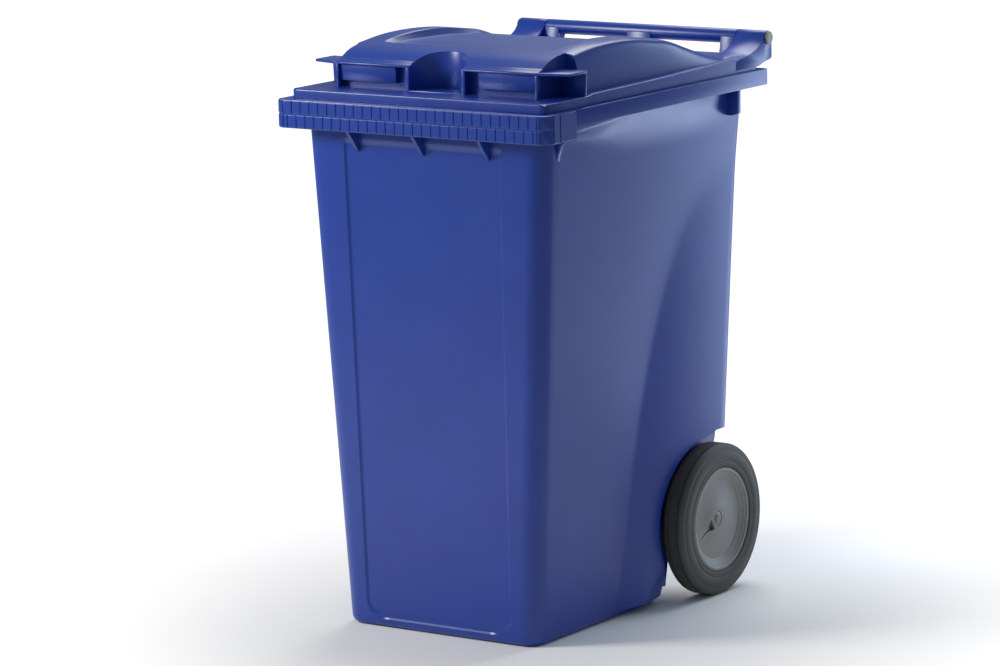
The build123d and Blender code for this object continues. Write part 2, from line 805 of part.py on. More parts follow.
with BuildPart() as tyre_right:
    middle = (wheel_half_inner + wheel_half_outer) / 2
    with BuildSketch(wheel_plane):
        with BuildLine():
            Polyline(
                (wheel_half_inner, hub_rim_radius),
                (wheel_half_inner, wheel_radius - tyre_shoulder),
                (wheel_half_inner + tyre_shoulder * 0.3, wheel_radius - tyre_shoulder * 0.3),
                (wheel_half_inner + tyre_shoulder, wheel_radius),
                (wheel_half_outer - tyre_shoulder, wheel_radius),
                (wheel_half_outer - tyre_shoulder * 0.3, wheel_radius - tyre_shoulder * 0.3),
                (wheel_half_outer, wheel_radius - tyre_shoulder),
                (wheel_half_outer, hub_rim_radius + 4),
                (wheel_half_outer - 4, hub_rim_radius),
                close=True,
            )
        make_face()
        for shift in (-11, 11):
            with Locations((middle + shift, wheel_radius)):
                Rectangle(groove_width, 2 * groove_depth, mode=Mode.SUBTRACT)
    revolve(axis=wheel_axis)
tyre_right.part.label = "tyre_right"

with BuildPart() as inner_bush_right:
    with BuildSketch(wheel_plane):
        with BuildLine():
            Polyline(
                (barrel_start - bush_flange_thickness, axle_radius + fit_gap),
                (barrel_start - bush_flange_thickness, bush_flange_radius),
                (barrel_start, bush_flange_radius),
                (barrel_start, bush_outer_radius),
                (barrel_start + bush_length, bush_outer_radius),
                (barrel_start + bush_length, axle_radius + fit_gap),
                close=True,
            )
        make_face()
    revolve(axis=wheel_axis)
inner_bush_right.part.label = "inner_bush_right"

with BuildPart() as outer_bush_right:
    with BuildSketch(Plane.YZ.offset(axle_end - bush_length)):
        with Locations((axle_y, axle_z)):
            Circle(bush_outer_radius)
            Circle(axle_radius + fit_gap, mode=Mode.SUBTRACT)
    extrude(amount=bush_length - seat_gap)
outer_bush_right.part.label = "outer_bush_right"

with BuildPart() as axle_washer_right:
    with BuildSketch(Plane.YZ.offset(washer_start)):
        with Locations((axle_y, axle_z)):
            Circle(washer_radius)
            Circle(axle_radius + fit_gap, mode=Mode.SUBTRACT)
    extrude(amount=washer_thickness)
axle_washer_right.part.label = "axle_washer_right"

with BuildPart() as hub_cap_right:
    with BuildSketch(Plane.YZ.offset(axle_end + seat_gap)):
        with Locations((axle_y, axle_z)):
            Circle(bush_outer_radius)
    extrude(amount=web_outer - axle_end - seat_gap)
    with BuildSketch(Plane.YZ.offset(web_outer)):
        with Locations((axle_y, axle_z)):
            Circle(cap_radius)
    extrude(amount=cap_thickness)
    fillet(hub_cap_right.faces().sort_by(Axis.X)[-1].edges(), cap_thickness / 2)
hub_cap_right.part.label = "hub_cap_right"

with BuildPart() as wheel_catch_right:
    add(catch_stem)
    add(catch_tab)
wheel_catch_right.part.label = "wheel_catch_right"

# ---- Left wheel: the right one's mirror image, piece by piece ----
right_pieces = (
    wheel_hub_right,
    tyre_right,
    inner_bush_right,
    outer_bush_right,
    axle_washer_right,
    hub_cap_right,
    wheel_catch_right,
)
pieces = [tub, tub_rim, tub_handle, lid, hinge_pin_left, hinge_pin_right, axle, *right_pieces]
for right in right_pieces:
    with BuildPart() as left:
        add(mirror(right.part, about=Plane.YZ, mode=Mode.PRIVATE))
    left.part.label = right.part.label.replace("_right", "_left")
    pieces.append(left)

for piece in pieces:
    export_step(piece.part, "parts/" + piece.part.label + ".step")
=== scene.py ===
"""Wheelie bin: visual pieces built round the packed CAD frame."""

import json
import math

import bmesh
import bpy
import numpy as np
from mathutils import Matrix, Vector


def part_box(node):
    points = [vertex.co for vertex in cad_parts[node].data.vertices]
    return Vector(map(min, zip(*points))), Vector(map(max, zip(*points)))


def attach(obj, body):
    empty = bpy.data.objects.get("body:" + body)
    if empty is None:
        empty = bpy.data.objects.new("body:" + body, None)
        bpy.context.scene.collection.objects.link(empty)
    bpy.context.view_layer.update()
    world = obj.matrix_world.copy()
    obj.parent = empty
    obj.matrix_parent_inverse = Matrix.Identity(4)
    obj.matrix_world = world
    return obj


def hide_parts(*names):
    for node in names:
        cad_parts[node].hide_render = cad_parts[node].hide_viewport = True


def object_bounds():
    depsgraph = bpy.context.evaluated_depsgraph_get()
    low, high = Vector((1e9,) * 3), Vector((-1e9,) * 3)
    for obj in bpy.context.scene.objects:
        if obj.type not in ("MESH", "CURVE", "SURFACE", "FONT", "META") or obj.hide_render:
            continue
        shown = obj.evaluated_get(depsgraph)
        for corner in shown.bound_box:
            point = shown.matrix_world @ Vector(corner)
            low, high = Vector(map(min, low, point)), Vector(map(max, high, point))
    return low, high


bl_info = {
    "name": "Wheelie Bin",
    "version": (1, 0, 0),
    "blender": (4, 5, 0),
    "location": "View3D > Sidebar > Bin",
    "description": "Builds the pieces, finishes and stage of a two-wheeled waste bin",
    "category": "Object",
}

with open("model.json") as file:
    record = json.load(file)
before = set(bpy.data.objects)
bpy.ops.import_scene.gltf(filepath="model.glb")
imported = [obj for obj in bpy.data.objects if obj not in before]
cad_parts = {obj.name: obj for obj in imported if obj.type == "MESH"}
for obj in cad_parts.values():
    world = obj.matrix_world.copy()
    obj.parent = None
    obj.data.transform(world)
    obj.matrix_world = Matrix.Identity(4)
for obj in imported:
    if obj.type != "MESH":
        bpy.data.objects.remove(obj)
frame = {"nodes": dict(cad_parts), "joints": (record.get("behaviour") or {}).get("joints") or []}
CAD_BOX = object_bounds()

MM = 0.001

# The frame gives every place: the rim's box, the lid's box and the hinge and wheel axes.
RIM_LOW, RIM_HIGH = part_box("tub_rim")
LID_LOW, LID_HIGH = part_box("lid")
TYRE_LOW, TYRE_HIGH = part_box("tyre_right")
HUB_LOW, HUB_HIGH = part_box("wheel_hub_right")
CAP_LOW, CAP_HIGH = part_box("hub_cap_right")
PIN_LOW, PIN_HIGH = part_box("hinge_pin_right")
JOINTS = {joint["name"]: joint for joint in frame["joints"]}
HINGE = Vector(JOINTS["lid_hinge"]["pos_m"])
AXLE = Vector(JOINTS["wheel_right_spin"]["pos_m"])
CATCH_LINE = Vector(JOINTS["catch_right_slide"]["axis"])
RIM_FACE = RIM_LOW.y
RIM_HALF = RIM_HIGH.x
RIM_TOP = LID_LOW.z - 0.6 * MM


# ---------------------------------------------------------------- sizes


def length_property(label, description, default):
    """A length the user sets, in metres."""
    return bpy.props.FloatProperty(name=label, description=description, default=default, unit="LENGTH")


def angle_property(label, description, degrees):
    """An angle the user sets, given here in degrees."""
    return bpy.props.FloatProperty(
        name=label, description=description, default=math.radians(degrees), subtype="ANGLE"
    )


def colour_property(label, description, default):
    """A colour the user sets as an sRGB hex value."""
    return bpy.props.StringProperty(name=label, description=description, default=default)


class TubSizes(bpy.types.PropertyGroup):
    """Sizes of the tub's skin, rim and handle."""

    wall: length_property("Wall", "Thickness of the moulded wall", 0.004)
    rim_height: length_property("Rim height", "Height of the deep front rim", 0.054)
    overhang_side: length_property("Side overhang", "Rim face to body side", 0.037)
    overhang_front: length_property("Front overhang", "Rim face to body front", 0.041)
    side_draft: length_property("Side draft", "How far each side leans in at the base", 0.053)
    front_draft: length_property("Front draft", "How far the front leans in at the base", 0.019)
    base_depth: length_property("Base depth", "Length of the base the bin stands on", 0.440)
    corner: length_property("Corner radius", "Upright front corners", 0.038)
    back_corner: length_property("Back corner radius", "Upright back corners", 0.028)
    base_edge: length_property("Base edge radius", "Rounding round the base", 0.014)
    panel_recess: length_property("Panel recess", "Depth of the front panel", 0.0035)
    wing_half: length_property("Wing half width", "Half width of the rim behind the deep part", 0.303)
    wing_height: length_property("Wing height", "Height of the rim behind the deep part", 0.031)
    block_pitch: length_property("Block pitch", "Spacing of the rim's grip blocks", 0.0208)
    block_relief: length_property("Block relief", "How far the grip blocks stand proud", 0.0015)


class LidSizes(bpy.types.PropertyGroup):
    """Sizes of the lid's dome, hood and scoop."""

    skin: length_property("Skin", "Thickness of the lid", 0.0036)
    panel_half: length_property("Panel half width", "Sunken panel between the humps", 0.193)
    scoop: length_property("Scoop radius", "Half-round hand scoop at the front", 0.060)
    hood_half: length_property("Hood half width", "Front hood with the finger grips", 0.231)


class WheelSizes(bpy.types.PropertyGroup):
    """Sizes of tyres and hubs."""

    shoulder: length_property("Shoulder", "Rounding of the tyre's shoulders", 0.010)
    hub_radius: length_property("Hub radius", "Where the tyre meets the hub", 0.103)
    disc_radius: length_property("Disc radius", "Flat disc inside the hub's ring", 0.079)
    recess: length_property("Disc recess", "Tyre's outer face in to the disc", 0.013)


class Finishes(bpy.types.PropertyGroup):
    """Colours, as sRGB hex values."""

    tub: colour_property("Tub", "Moulded polyethylene of the tub", "#1A3C98")
    lid: colour_property("Lid", "Moulded polyethylene of the lid", "#1A3C98")
    tyre: colour_property("Tyre", "Tyre rubber", "#4A4742")
    hub: colour_property("Hub", "Hub polypropylene", "#8B8883")
    pin: colour_property("Pin", "Hinge pins", "#9B9480")
    floor: colour_property("Floor", "Studio floor", "#FDF9F2")


class StageSizes(bpy.types.PropertyGroup):
    """Camera and lights."""

    target: bpy.props.FloatVectorProperty(
        name="Target",
        description="Point in the middle of the view",
        default=(-0.0565, -0.0451, 0.5326),
        size=3,
        subtype="TRANSLATION",
    )
    azimuth: angle_property("Azimuth", "Camera's turn round the bin from its front", 34.56)
    elevation: angle_property("Elevation", "Camera's height above the horizon", 10.21)
    roll: angle_property("Roll", "Camera's lean", -1.27)
    distance: length_property("Distance", "Camera to the middle of the view", 8.91)
    lens: bpy.props.FloatProperty(
        name="Lens", description="Focal length on a 36 mm sensor, in mm", default=164.4
    )


# ---------------------------------------------------------------- geometry helpers


def rounded(points, radius, steps=4):
    """Closed outline with each corner turned into an arc of that radius, or a radius per corner."""
    points = [np.array(p, float) for p in points]
    count = len(points)
    radii = [radius] * count if np.isscalar(radius) else list(radius)
    outline = []
    for i, point in enumerate(points):
        to_before = points[i - 1] - point
        to_after = points[(i + 1) % count] - point
        len_before, len_after = np.linalg.norm(to_before), np.linalg.norm(to_after)
        a, b = to_before / len_before, to_after / len_after
        half = math.acos(max(-1.0, min(1.0, float(a @ b)))) / 2
        if radii[i] <= 0 or half > math.pi / 2 - 0.01:
            outline.append(point)
            continue
        reach = min(radii[i] / math.tan(half), 0.49 * len_before, 0.49 * len_after)
        size = reach * math.tan(half)
        middle = point + (a + b) / np.linalg.norm(a + b) * size / math.sin(half)
        start, end = point + a * reach - middle, point + b * reach - middle
        turn = math.pi - 2 * half
        for k in range(steps + 1):
            t = k / steps
            outline.append(
                middle + (math.sin((1 - t) * turn) * start + math.sin(t * turn) * end) / math.sin(turn)
            )
    return np.array(outline)


def loft(rings, cap_first=True, cap_last=True):
    """Vertices and faces of a skin through closed rings of equal length."""
    rings = np.asarray(rings, float)
    count, around = rings.shape[:2]
    verts = rings.reshape(-1, 3)
    faces = []
    for r in range(count - 1):
        a, b = r * around, (r + 1) * around
        faces += [(a + i, a + (i + 1) % around, b + (i + 1) % around, b + i) for i in range(around)]
    if cap_first:
        faces.append(tuple(range(around))[::-1])
    if cap_last:
        faces.append(tuple(range((count - 1) * around, count * around)))
    return verts, faces


def prism_x(outline, low, high):
    """Solid with a side view of (y, z) points, from x low to x high."""
    ring = [[(x, y, z) for y, z in outline] for x in (low, high)]
    return loft(ring)


def prism_y(outline, low, high):
    """Solid with a front view of (x, z) points, from y low to y high."""
    ring = [[(x, y, z) for x, z in outline] for y in (low, high)]
    return loft(ring)


def prism_z(outline, low, high):
    """Solid with a plan of (x, y) points, from z low to z high."""
    ring = [[(x, y, z) for x, y in outline] for z in (low, high)]
    return loft(ring)


def block(low, high):
    """Square-cornered solid between two corners."""
    (x0, y0, z0), (x1, y1, z1) = low, high
    return prism_z([(x0, y0), (x1, y0), (x1, y1), (x0, y1)], z0, z1)


def mirrored(solid):
    """The same solid on the other side of the bin."""
    verts, faces = solid
    return np.array(verts) * (-1, 1, 1), [tuple(reversed(f)) for f in faces]


def both_sides(solid):
    return [solid, mirrored(solid)]


def unchanged(solid):
    return solid


SIDES = (("right", unchanged), ("left", mirrored))


def revolve_x(profile, centre, turns=96):
    """Solid of revolution about an X axis through centre, from a closed profile of (x, radius)."""
    angles = np.linspace(0, 2 * math.pi, turns, endpoint=False)
    rings = [
        [(x, centre[1] + r * math.cos(t), centre[2] + r * math.sin(t)) for x, r in profile]
        for t in angles
    ]
    verts = np.array(rings).reshape(-1, 3)
    count = len(profile)
    faces = []
    for k in range(turns):
        a, b = k * count, ((k + 1) % turns) * count
        faces += [(a + i, a + (i + 1) % count, b + (i + 1) % count, b + i) for i in range(count)]
    return verts, faces


def joined(solids):
    """Several solids as one list of vertices and faces."""
    verts, faces, start = [], [], 0
    for v, f in solids:
        verts.append(np.asarray(v, float).reshape(-1, 3))
        faces += [tuple(i + start for i in face) for face in f]
        start += len(v)
    return np.concatenate(verts), faces


def mesh_object(name, solid):
    """Mesh object with faces turned outwards."""
    verts, faces = solid
    mesh = bpy.data.meshes.new(name)
    mesh.from_pydata([tuple(v) for v in verts], [], faces)
    work = bmesh.new()
    work.from_mesh(mesh)
    bmesh.ops.remove_doubles(work, verts=work.verts, dist=1e-6)
    bmesh.ops.recalc_face_normals(work, faces=work.faces)
    work.to_mesh(mesh)
    work.free()
    piece = bpy.data.objects.new(name, mesh)
    bpy.context.scene.collection.objects.link(piece)
    return piece


def apply_modifiers(piece):
    """Leaves the piece with the mesh that its modifiers make."""
    graph = bpy.context.evaluated_depsgraph_get()
    mesh = bpy.data.meshes.new_from_object(piece.evaluated_get(graph))
    piece.modifiers.clear()
    piece.data = mesh


def cut_away(piece, solid):
    """Takes a closed solid out of the piece."""
    cutter = mesh_object("cutter", solid)
    cut = piece.modifiers.new("cut", "BOOLEAN")
    cut.operation, cut.solver, cut.object = "DIFFERENCE", "EXACT", cutter
    apply_modifiers(piece)
    bpy.data.objects.remove(cutter)


def soften(piece, width, segments=2, angle=30):
    """Small rounding along the sharp edges, as a mould gives."""
    bevel = piece.modifiers.new("edges", "BEVEL")
    bevel.width = width
    bevel.segments = segments
    bevel.limit_method = "ANGLE"
    bevel.angle_limit = math.radians(angle)
    bevel.use_clamp_overlap = True
    apply_modifiers(piece)


def smooth_shade(piece, angle=35):
    """Smooth faces, with edges sharper than the angle kept crisp."""
    work = bmesh.new()
    work.from_mesh(piece.data)
    for face in work.faces:
        face.smooth = True
    limit = math.radians(angle)
    for edge in work.edges:
        edge.smooth = len(edge.link_faces) == 2 and edge.calc_face_angle(0.0) < limit
    work.to_mesh(piece.data)
    work.free()


def finish_piece(piece, body, slot, finish, *nodes):
    """Gives the piece its named finish and its body, and hides the CAD nodes that it stands for."""
    piece.data.materials.clear()
    piece.data.materials.append(material_named(finish))
    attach(piece, body)
    if nodes:
        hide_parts(*nodes)
    return piece


def smoothstep(value):
    value = np.clip(value, 0.0, 1.0)
    return value * value * (3 - 2 * value)


def soft_max(a, b, radius):
    """The larger of two, with a rounded changeover."""
    return 0.5 * (a + b + np.sqrt((a - b) ** 2 + radius**2))


# ---------------------------------------------------------------- materials


def linear(hex_value):
    """sRGB hex to linear RGBA."""
    channels = [int(hex_value.lstrip("#")[i : i + 2], 16) / 255 for i in (0, 2, 4)]
    return [c / 12.92 if c <= 0.04045 else ((c + 0.055) / 1.055) ** 2.4 for c in channels] + [1.0]


def add_node(tree, kind, settings=None, links=None):
    """Adds a node; settings are attributes or input values, links are input name to output socket."""
    made = tree.nodes.new(kind)
    for key, value in (settings or {}).items():
        if isinstance(key, str) and hasattr(made, key):
            setattr(made, key, value)
        else:
            made.inputs[key].default_value = value
    for key, socket in (links or {}).items():
        tree.links.new(socket, made.inputs[key])
    return made


def noise(tree, place, cell_mm, detail, roughness):
    """Cloudy pattern with cells of about that size in millimetres."""
    settings = {"Scale": 1 / (cell_mm * MM), "Detail": detail, "Roughness": roughness}
    return add_node(tree, "ShaderNodeTexNoise", settings, {"Vector": place}).outputs["Fac"]


def new_material(name):
    """Material with an empty node tree, the tree, and the object's own coordinates in metres."""
    material = bpy.data.materials.new(name)
    material.use_nodes = True
    tree = material.node_tree
    tree.nodes.clear()
    return material, tree, add_node(tree, "ShaderNodeTexCoord").outputs["Object"]


def moulded(name, colour, roughness, grain_mm, grain_depth, ior, mottle=0.06, wear=0.0):
    """A moulded plastic or rubber: fine spark-eroded grain, faint colour drift and uneven gloss."""
    material, tree, place = new_material(name)
    base = linear(colour)
    drift = noise(tree, place, 180, 3.0, 0.5)
    grain = noise(tree, place, grain_mm, 2.0, 0.6)
    cloud = noise(tree, place, 35, 4.0, 0.55)
    darker = [c * (1 - mottle) for c in base[:3]] + [1.0]
    lighter = [min(1.0, c * (1 + mottle) + 0.002) for c in base[:3]] + [1.0]
    tint = add_node(tree, "ShaderNodeValToRGB", {}, {"Fac": drift})
    tint.color_ramp.elements[0].position, tint.color_ramp.elements[1].position = 0.3, 0.7
    tint.color_ramp.elements[0].color, tint.color_ramp.elements[1].color = darker, lighter
    gloss = add_node(
        tree,
        "ShaderNodeMapRange",
        {"From Min": 0.3, "From Max": 0.7, "To Min": roughness * 0.97, "To Max": roughness * 1.04},
        {"Value": cloud},
    ).outputs["Result"]
    bump = add_node(
        tree, "ShaderNodeBump", {"Strength": 0.35, "Distance": grain_depth * MM}, {"Height": grain}
    ).outputs["Normal"]
    shader = add_node(
        tree,
        "ShaderNodeBsdfPrincipled",
        {"IOR": ior},
        {"Base Color": tint.outputs["Color"], "Roughness": gloss, "Normal": bump},
    )
    add_node(tree, "ShaderNodeOutputMaterial", {}, {"Surface": shader.outputs["BSDF"]})
    return material


def zinc_steel(name):
    """Zinc-plated steel bar: pale grey, with a soft streaky sheen along the drawing direction."""
    material, tree, place = new_material(name)
    # Streaks about 50 mm long and 1 mm wide.
    stretched = add_node(tree, "ShaderNodeMapping", {"Scale": (20, 900, 900)}, {"Vector": place})
    streak = noise(tree, stretched.outputs["Vector"], 1000, 3.0, 0.5)
    rough = add_node(tree, "ShaderNodeMapRange", {"To Min": 0.28, "To Max": 0.45}, {"Value": streak})
    bump = add_node(tree, "ShaderNodeBump", {"Strength": 0.2, "Distance": 0.05 * MM}, {"Height": streak})
    sheen, relief = rough.outputs["Result"], bump.outputs["Normal"]
    tint = add_node(tree, "ShaderNodeValToRGB", {}, {"Fac": streak})
    tint.color_ramp.elements[0].color = linear("#A9ACB0")
    tint.color_ramp.elements[1].color = linear("#C9CBCE")
    shader = add_node(
        tree,
        "ShaderNodeBsdfPrincipled",
        {"Metallic": 1.0},
        {"Base Color": tint.outputs["Color"], "Roughness": sheen, "Normal": relief},
    )
    add_node(tree, "ShaderNodeOutputMaterial", {}, {"Surface": shader.outputs["BSDF"]})
    return material


def material_named(name):
    """The finish with that name, made on first use."""
    if name in bpy.data.materials:
        return bpy.data.materials[name]
    colours = bpy.context.scene.bin_finishes
    if name == "polyethylene moulded, tub":
        # Injection-moulded HDPE: saturated, waxy, satin; broad soft reflections and no mirror.
        return moulded(name, colours.tub, 0.32, 1.6, 0.05, 1.54)
    if name == "polyethylene moulded, lid":
        # The lid's mould is polished a little more, so its edges catch thinner highlights.
        return moulded(name, colours.lid, 0.30, 1.6, 0.04, 1.54)
    if name == "rubber tyre, vulcanised":
        # Carbon-black rubber: nearly matt, greyed by bloom, slightly uneven.
        return moulded(name, colours.tyre, 0.62, 1.2, 0.08, 1.52, mottle=0.12)
    if name == "polypropylene moulded, hub":
        # Grey polypropylene, satin, with faint flow marks.
        return moulded(name, colours.hub, 0.45, 1.4, 0.05, 1.49, mottle=0.08)
    if name == "nylon moulded, pin":
        # Unpigmented nylon: warm pale beige-grey.
        return moulded(name, colours.pin, 0.5, 1.4, 0.04, 1.53, mottle=0.05)
    if name == "acetal moulded, bush":
        # Natural acetal: slick off-white bearing plastic.
        return moulded(name, "#E4E2D8", 0.3, 2.0, 0.02, 1.48, mottle=0.03)
    if name == "nylon moulded, catch":
        # Black glass-filled nylon, duller than the hub.
        return moulded(name, "#232323", 0.55, 1.0, 0.06, 1.53, mottle=0.08)
    return zinc_steel(name)


# ---------------------------------------------------------------- tub


# Radius of the handle bar and of the lid's hinge barrels.
BARREL_RADIUS = 0.0145


def behind(distance):
    """Y of a point that far behind the rim's front face."""
    return RIM_FACE + distance


# Half-width of the front panel at its foot, how much wider it is at its top, and the arch's top.
PANEL_HALF = 0.168
PANEL_SPREAD = 0.013
ARCH_TOP = 0.322
# Inner wall of the arches, as a distance from the middle.
ARCH_WALL = 0.234


class TubForm:
    """Works out the tub's skin from its sizes; y is the distance behind the rim's front face."""

    def __init__(self, sizes):
        self.s = sizes
        self.rim_low = RIM_TOP - sizes.rim_height
        self.top_half = RIM_HALF - sizes.overhang_side
        self.base_half = self.top_half - sizes.side_draft
        self.base_back = sizes.overhang_front + sizes.front_draft + sizes.base_depth
        self.flare_top = RIM_HALF - 0.042
        self.flare_swell, self.flare_start, self.flare_length = 0.050, 0.335, 0.110
        self.hinge = HINGE.y - RIM_FACE
        self.axle = AXLE.y - RIM_FACE

    def half(self, z):
        return self.base_half + self.s.side_draft * z / self.rim_low

    def front(self, z):
        return self.s.overhang_front + self.s.front_draft * (1 - z / self.rim_low)

    def back(self, z):
        """Short base, a slant that clears the axle, then the back wall; its bends are rounded."""
        foot, head = self.hinge - 0.1245, self.hinge - 0.0595
        heights = [-0.1, 0.0, 0.090, 0.290, self.rim_low, self.rim_low + 0.2]
        lean = 0.2 * (head - foot) / (self.rim_low - 0.290)
        places = [self.base_back, self.base_back, self.base_back + 0.010, foot, head, head + lean]
        return float(np.mean(np.interp(z + np.linspace(-0.016, 0.016, 9), heights, places)))

    def flare(self, y, z):
        """Half-width of the upright rear sides that swell over the wheels."""
        swell = self.flare_top - self.flare_swell * np.exp((self.flare_start - y) / self.flare_length)
        heel = 0.030 * (1 - smoothstep(z / 0.10)) * smoothstep((y - 0.40) / 0.10)
        return swell - 0.06 * (1 - smoothstep(z / 0.016)) - heel

    def crease(self, z):
        """Where the flared side leaves the tapered one."""
        gap = max(self.flare_top - self.half(z), 0.0004)
        return self.flare_start - self.flare_length * math.log(gap / self.flare_swell)

    def cove(self, y, z):
        """Extra half-width where the side sweeps out to the rim, softer towards the back."""
        fade = smoothstep((y - 0.104) / 0.23)
        low = self.rim_low - 0.002 - fade * 0.058
        high = self.rim_low + 0.012 + fade * 0.014
        share = np.clip((z - low) / (high - low), 0, 1)
        reach = self.s.wing_half - 0.002 - self.half(z)
        gone = 1 - smoothstep((y - 0.50) / 0.22)
        return np.where(y > 0.1, reach * share ** (1.0 + fade) * gone, 0.0)

    def side(self, y, z):
        return soft_max(self.half(z), self.flare(y, z), 0.002) + self.cove(y, z)

    def reach(self, y, z):
        """Half-width of the outer skin, round the back corner as well."""
        past = y - (self.back(z) - self.s.back_corner)
        corner = self.s.back_corner
        short = corner - math.sqrt(max(0.0, corner**2 - min(past, corner) ** 2)) if past > 0 else 0.0
        return max(float(self.side(y, z)) - short, ARCH_WALL + 0.001)

    def recess(self, x, z):
        """Depth of the front panel, which has rounded lower corners."""
        low, high, corner = 0.016, self.rim_low - 0.018, 0.038
        half = PANEL_HALF + PANEL_SPREAD * (z - low) / (high - low)
        out_x, out_z = abs(x) - half + corner, low + corner - z
        beyond = math.hypot(max(out_x, 0), max(out_z, 0)) + min(max(out_x, out_z), 0)
        return self.s.panel_recess * smoothstep((corner - beyond) / 0.005) * smoothstep((high - z) / 0.01)

    def ring(self, z, inset):
        """Closed plan outline at a height, drawn in by inset, from the front's middle round the right."""
        s = self.s
        under = max(0.0, s.base_edge - z) if inset == 0 else 0.0
        draw = inset + s.base_edge - math.sqrt(max(0.0, s.base_edge**2 - under**2))
        half, front, last = self.half(z) - draw, self.front(z) + draw, self.back(z) - draw
        corner, back_corner = max(s.corner - draw, 0.006), max(s.back_corner - inset, 0.006)
        edge = PANEL_HALF + PANEL_SPREAD * z / self.rim_low
        beside_edge = edge + np.array([-0.008, -0.0055, -0.003, 0.0, 0.003, 0.0065])
        across = np.concatenate([np.linspace(0, edge - 0.014, 9), beside_edge])
        depth = s.panel_recess if inset else 0.0
        points = [(x, front + (depth or float(self.recess(x, z)))) for x in across]
        for t in np.linspace(0, math.pi / 2, 13):
            points.append((half - corner + corner * math.sin(t), front + corner - corner * math.cos(t)))
        end = last - back_corner
        crease = max(min(self.crease(z), end - 0.03), 0.15)
        near = crease + np.array([-0.009, -0.006, -0.004, -0.002, 0, 0.002, 0.004, 0.006, 0.009])
        before, after = np.linspace(0.106, crease - 0.012, 18), np.linspace(crease + 0.012, end, 25)
        ys = np.concatenate([[0.0999, 0.1025], before, near, after])
        xs = self.side(ys, z) - draw
        points += list(zip(xs, ys))
        for t in np.linspace(0, math.pi / 2, 11)[1:]:
            points.append((xs[-1] - back_corner * (1 - math.cos(t)), end + back_corner * math.sin(t)))
        points += [((xs[-1] - back_corner) * share, last) for share in (0.75, 0.5, 0.25, 0.0)]
        right = np.array(points)
        loop = np.concatenate([right, right[1:-1][::-1] * (-1, 1)])
        return np.column_stack([loop[:, 0], loop[:, 1] + RIM_FACE, np.full(len(loop), z)])

    def heights(self):
        """Heights of the skin's rows, close together where the form turns."""
        rows = [self.s.base_edge * (1 - math.cos(t)) for t in np.linspace(0, math.pi / 2, 6)]
        rows += list(np.arange(0.017, 0.062, 0.003)) + list(np.arange(0.066, 0.120, 0.006))
        rows += list(np.arange(0.130, 0.262, 0.012)) + list(np.arange(0.266, 0.316, 0.004))
        rows += list(np.arange(0.325, 0.900, 0.015)) + list(np.arange(0.904, RIM_TOP - 0.006, 0.004))
        return rows

    def arch(self, grow):
        """Side view of the arch over a wheel, from the foot of its front to its flat top, as (Y, z)."""
        radius = (TYRE_HIGH.z - TYRE_LOW.z) / 2 + 0.014 + grow
        angles = np.linspace(math.radians(225), math.radians(90), 48)
        arc = [(AXLE.y + radius * math.cos(t), AXLE.z + radius * math.sin(t)) for t in angles]
        wall = behind(self.back(ARCH_TOP))
        flat = [AXLE.y + 0.03, *np.linspace(wall - 0.030, wall - 0.0005, 8)]
        return arc + [(y, ARCH_TOP + grow) for y in flat]


def tub_shell(form):
    """Outer and inner skins as one closed shell, opened over the wheels."""
    rows = form.heights()
    outer = [form.ring(z, 0.0) for z in rows]
    inner = [form.ring(z, form.s.wall) for z in rows if z >= form.s.wall]
    shell = mesh_object("tub_shell", loft(outer + inner[::-1]))
    room = form.arch(0.0)
    outside, under = AXLE.y + 0.3, -0.03
    outline = room[:-1] + [(outside, ARCH_TOP), (outside, under), (room[0][0], under)]
    for cutter in both_sides(prism_x(outline, ARCH_WALL, ARCH_WALL + 0.1)):
        cut_away(shell, cutter)
    return shell


def arch_liner(form):
    """Walls inside the arch: a flat one beside the wheel and a curved one over it."""
    wall = form.s.wall
    low, high = form.arch(0.0), form.arch(wall)
    slant = [(behind(form.back(z)) - 0.001, z) for z in (0.290, 0.200, 0.090)]
    plate = prism_x(low + slant, ARCH_WALL - wall, ARCH_WALL)
    rings = []
    for (y0, z0), (y1, z1) in zip(low, high):
        reach = form.reach(y0 - RIM_FACE, z0) - 0.0008
        rings.append([
            (ARCH_WALL - wall, y0, z0), (reach, y0, z0), (reach, y1, z1), (ARCH_WALL - wall, y1, z1)
        ])
    return both_sides(plate) + both_sides(loft(rings))


def axle_brackets(form):
    """Three plates that hang from the slant and hold the axle."""
    foot, head = behind(form.back(0.07)) - 0.004, behind(form.back(0.25)) - 0.004
    angles = np.linspace(math.radians(-110), math.radians(20), 16)
    boss = [(AXLE.y + 0.024 * math.cos(t), AXLE.z + 0.024 * math.sin(t)) for t in angles]
    outline = [(foot, 0.07)] + boss + [(head, 0.25), (behind(form.back(0.09)) - 0.004, 0.09)]
    return [prism_x(outline, x - 0.006, x + 0.006) for x in (-0.214, 0.0, 0.214)]


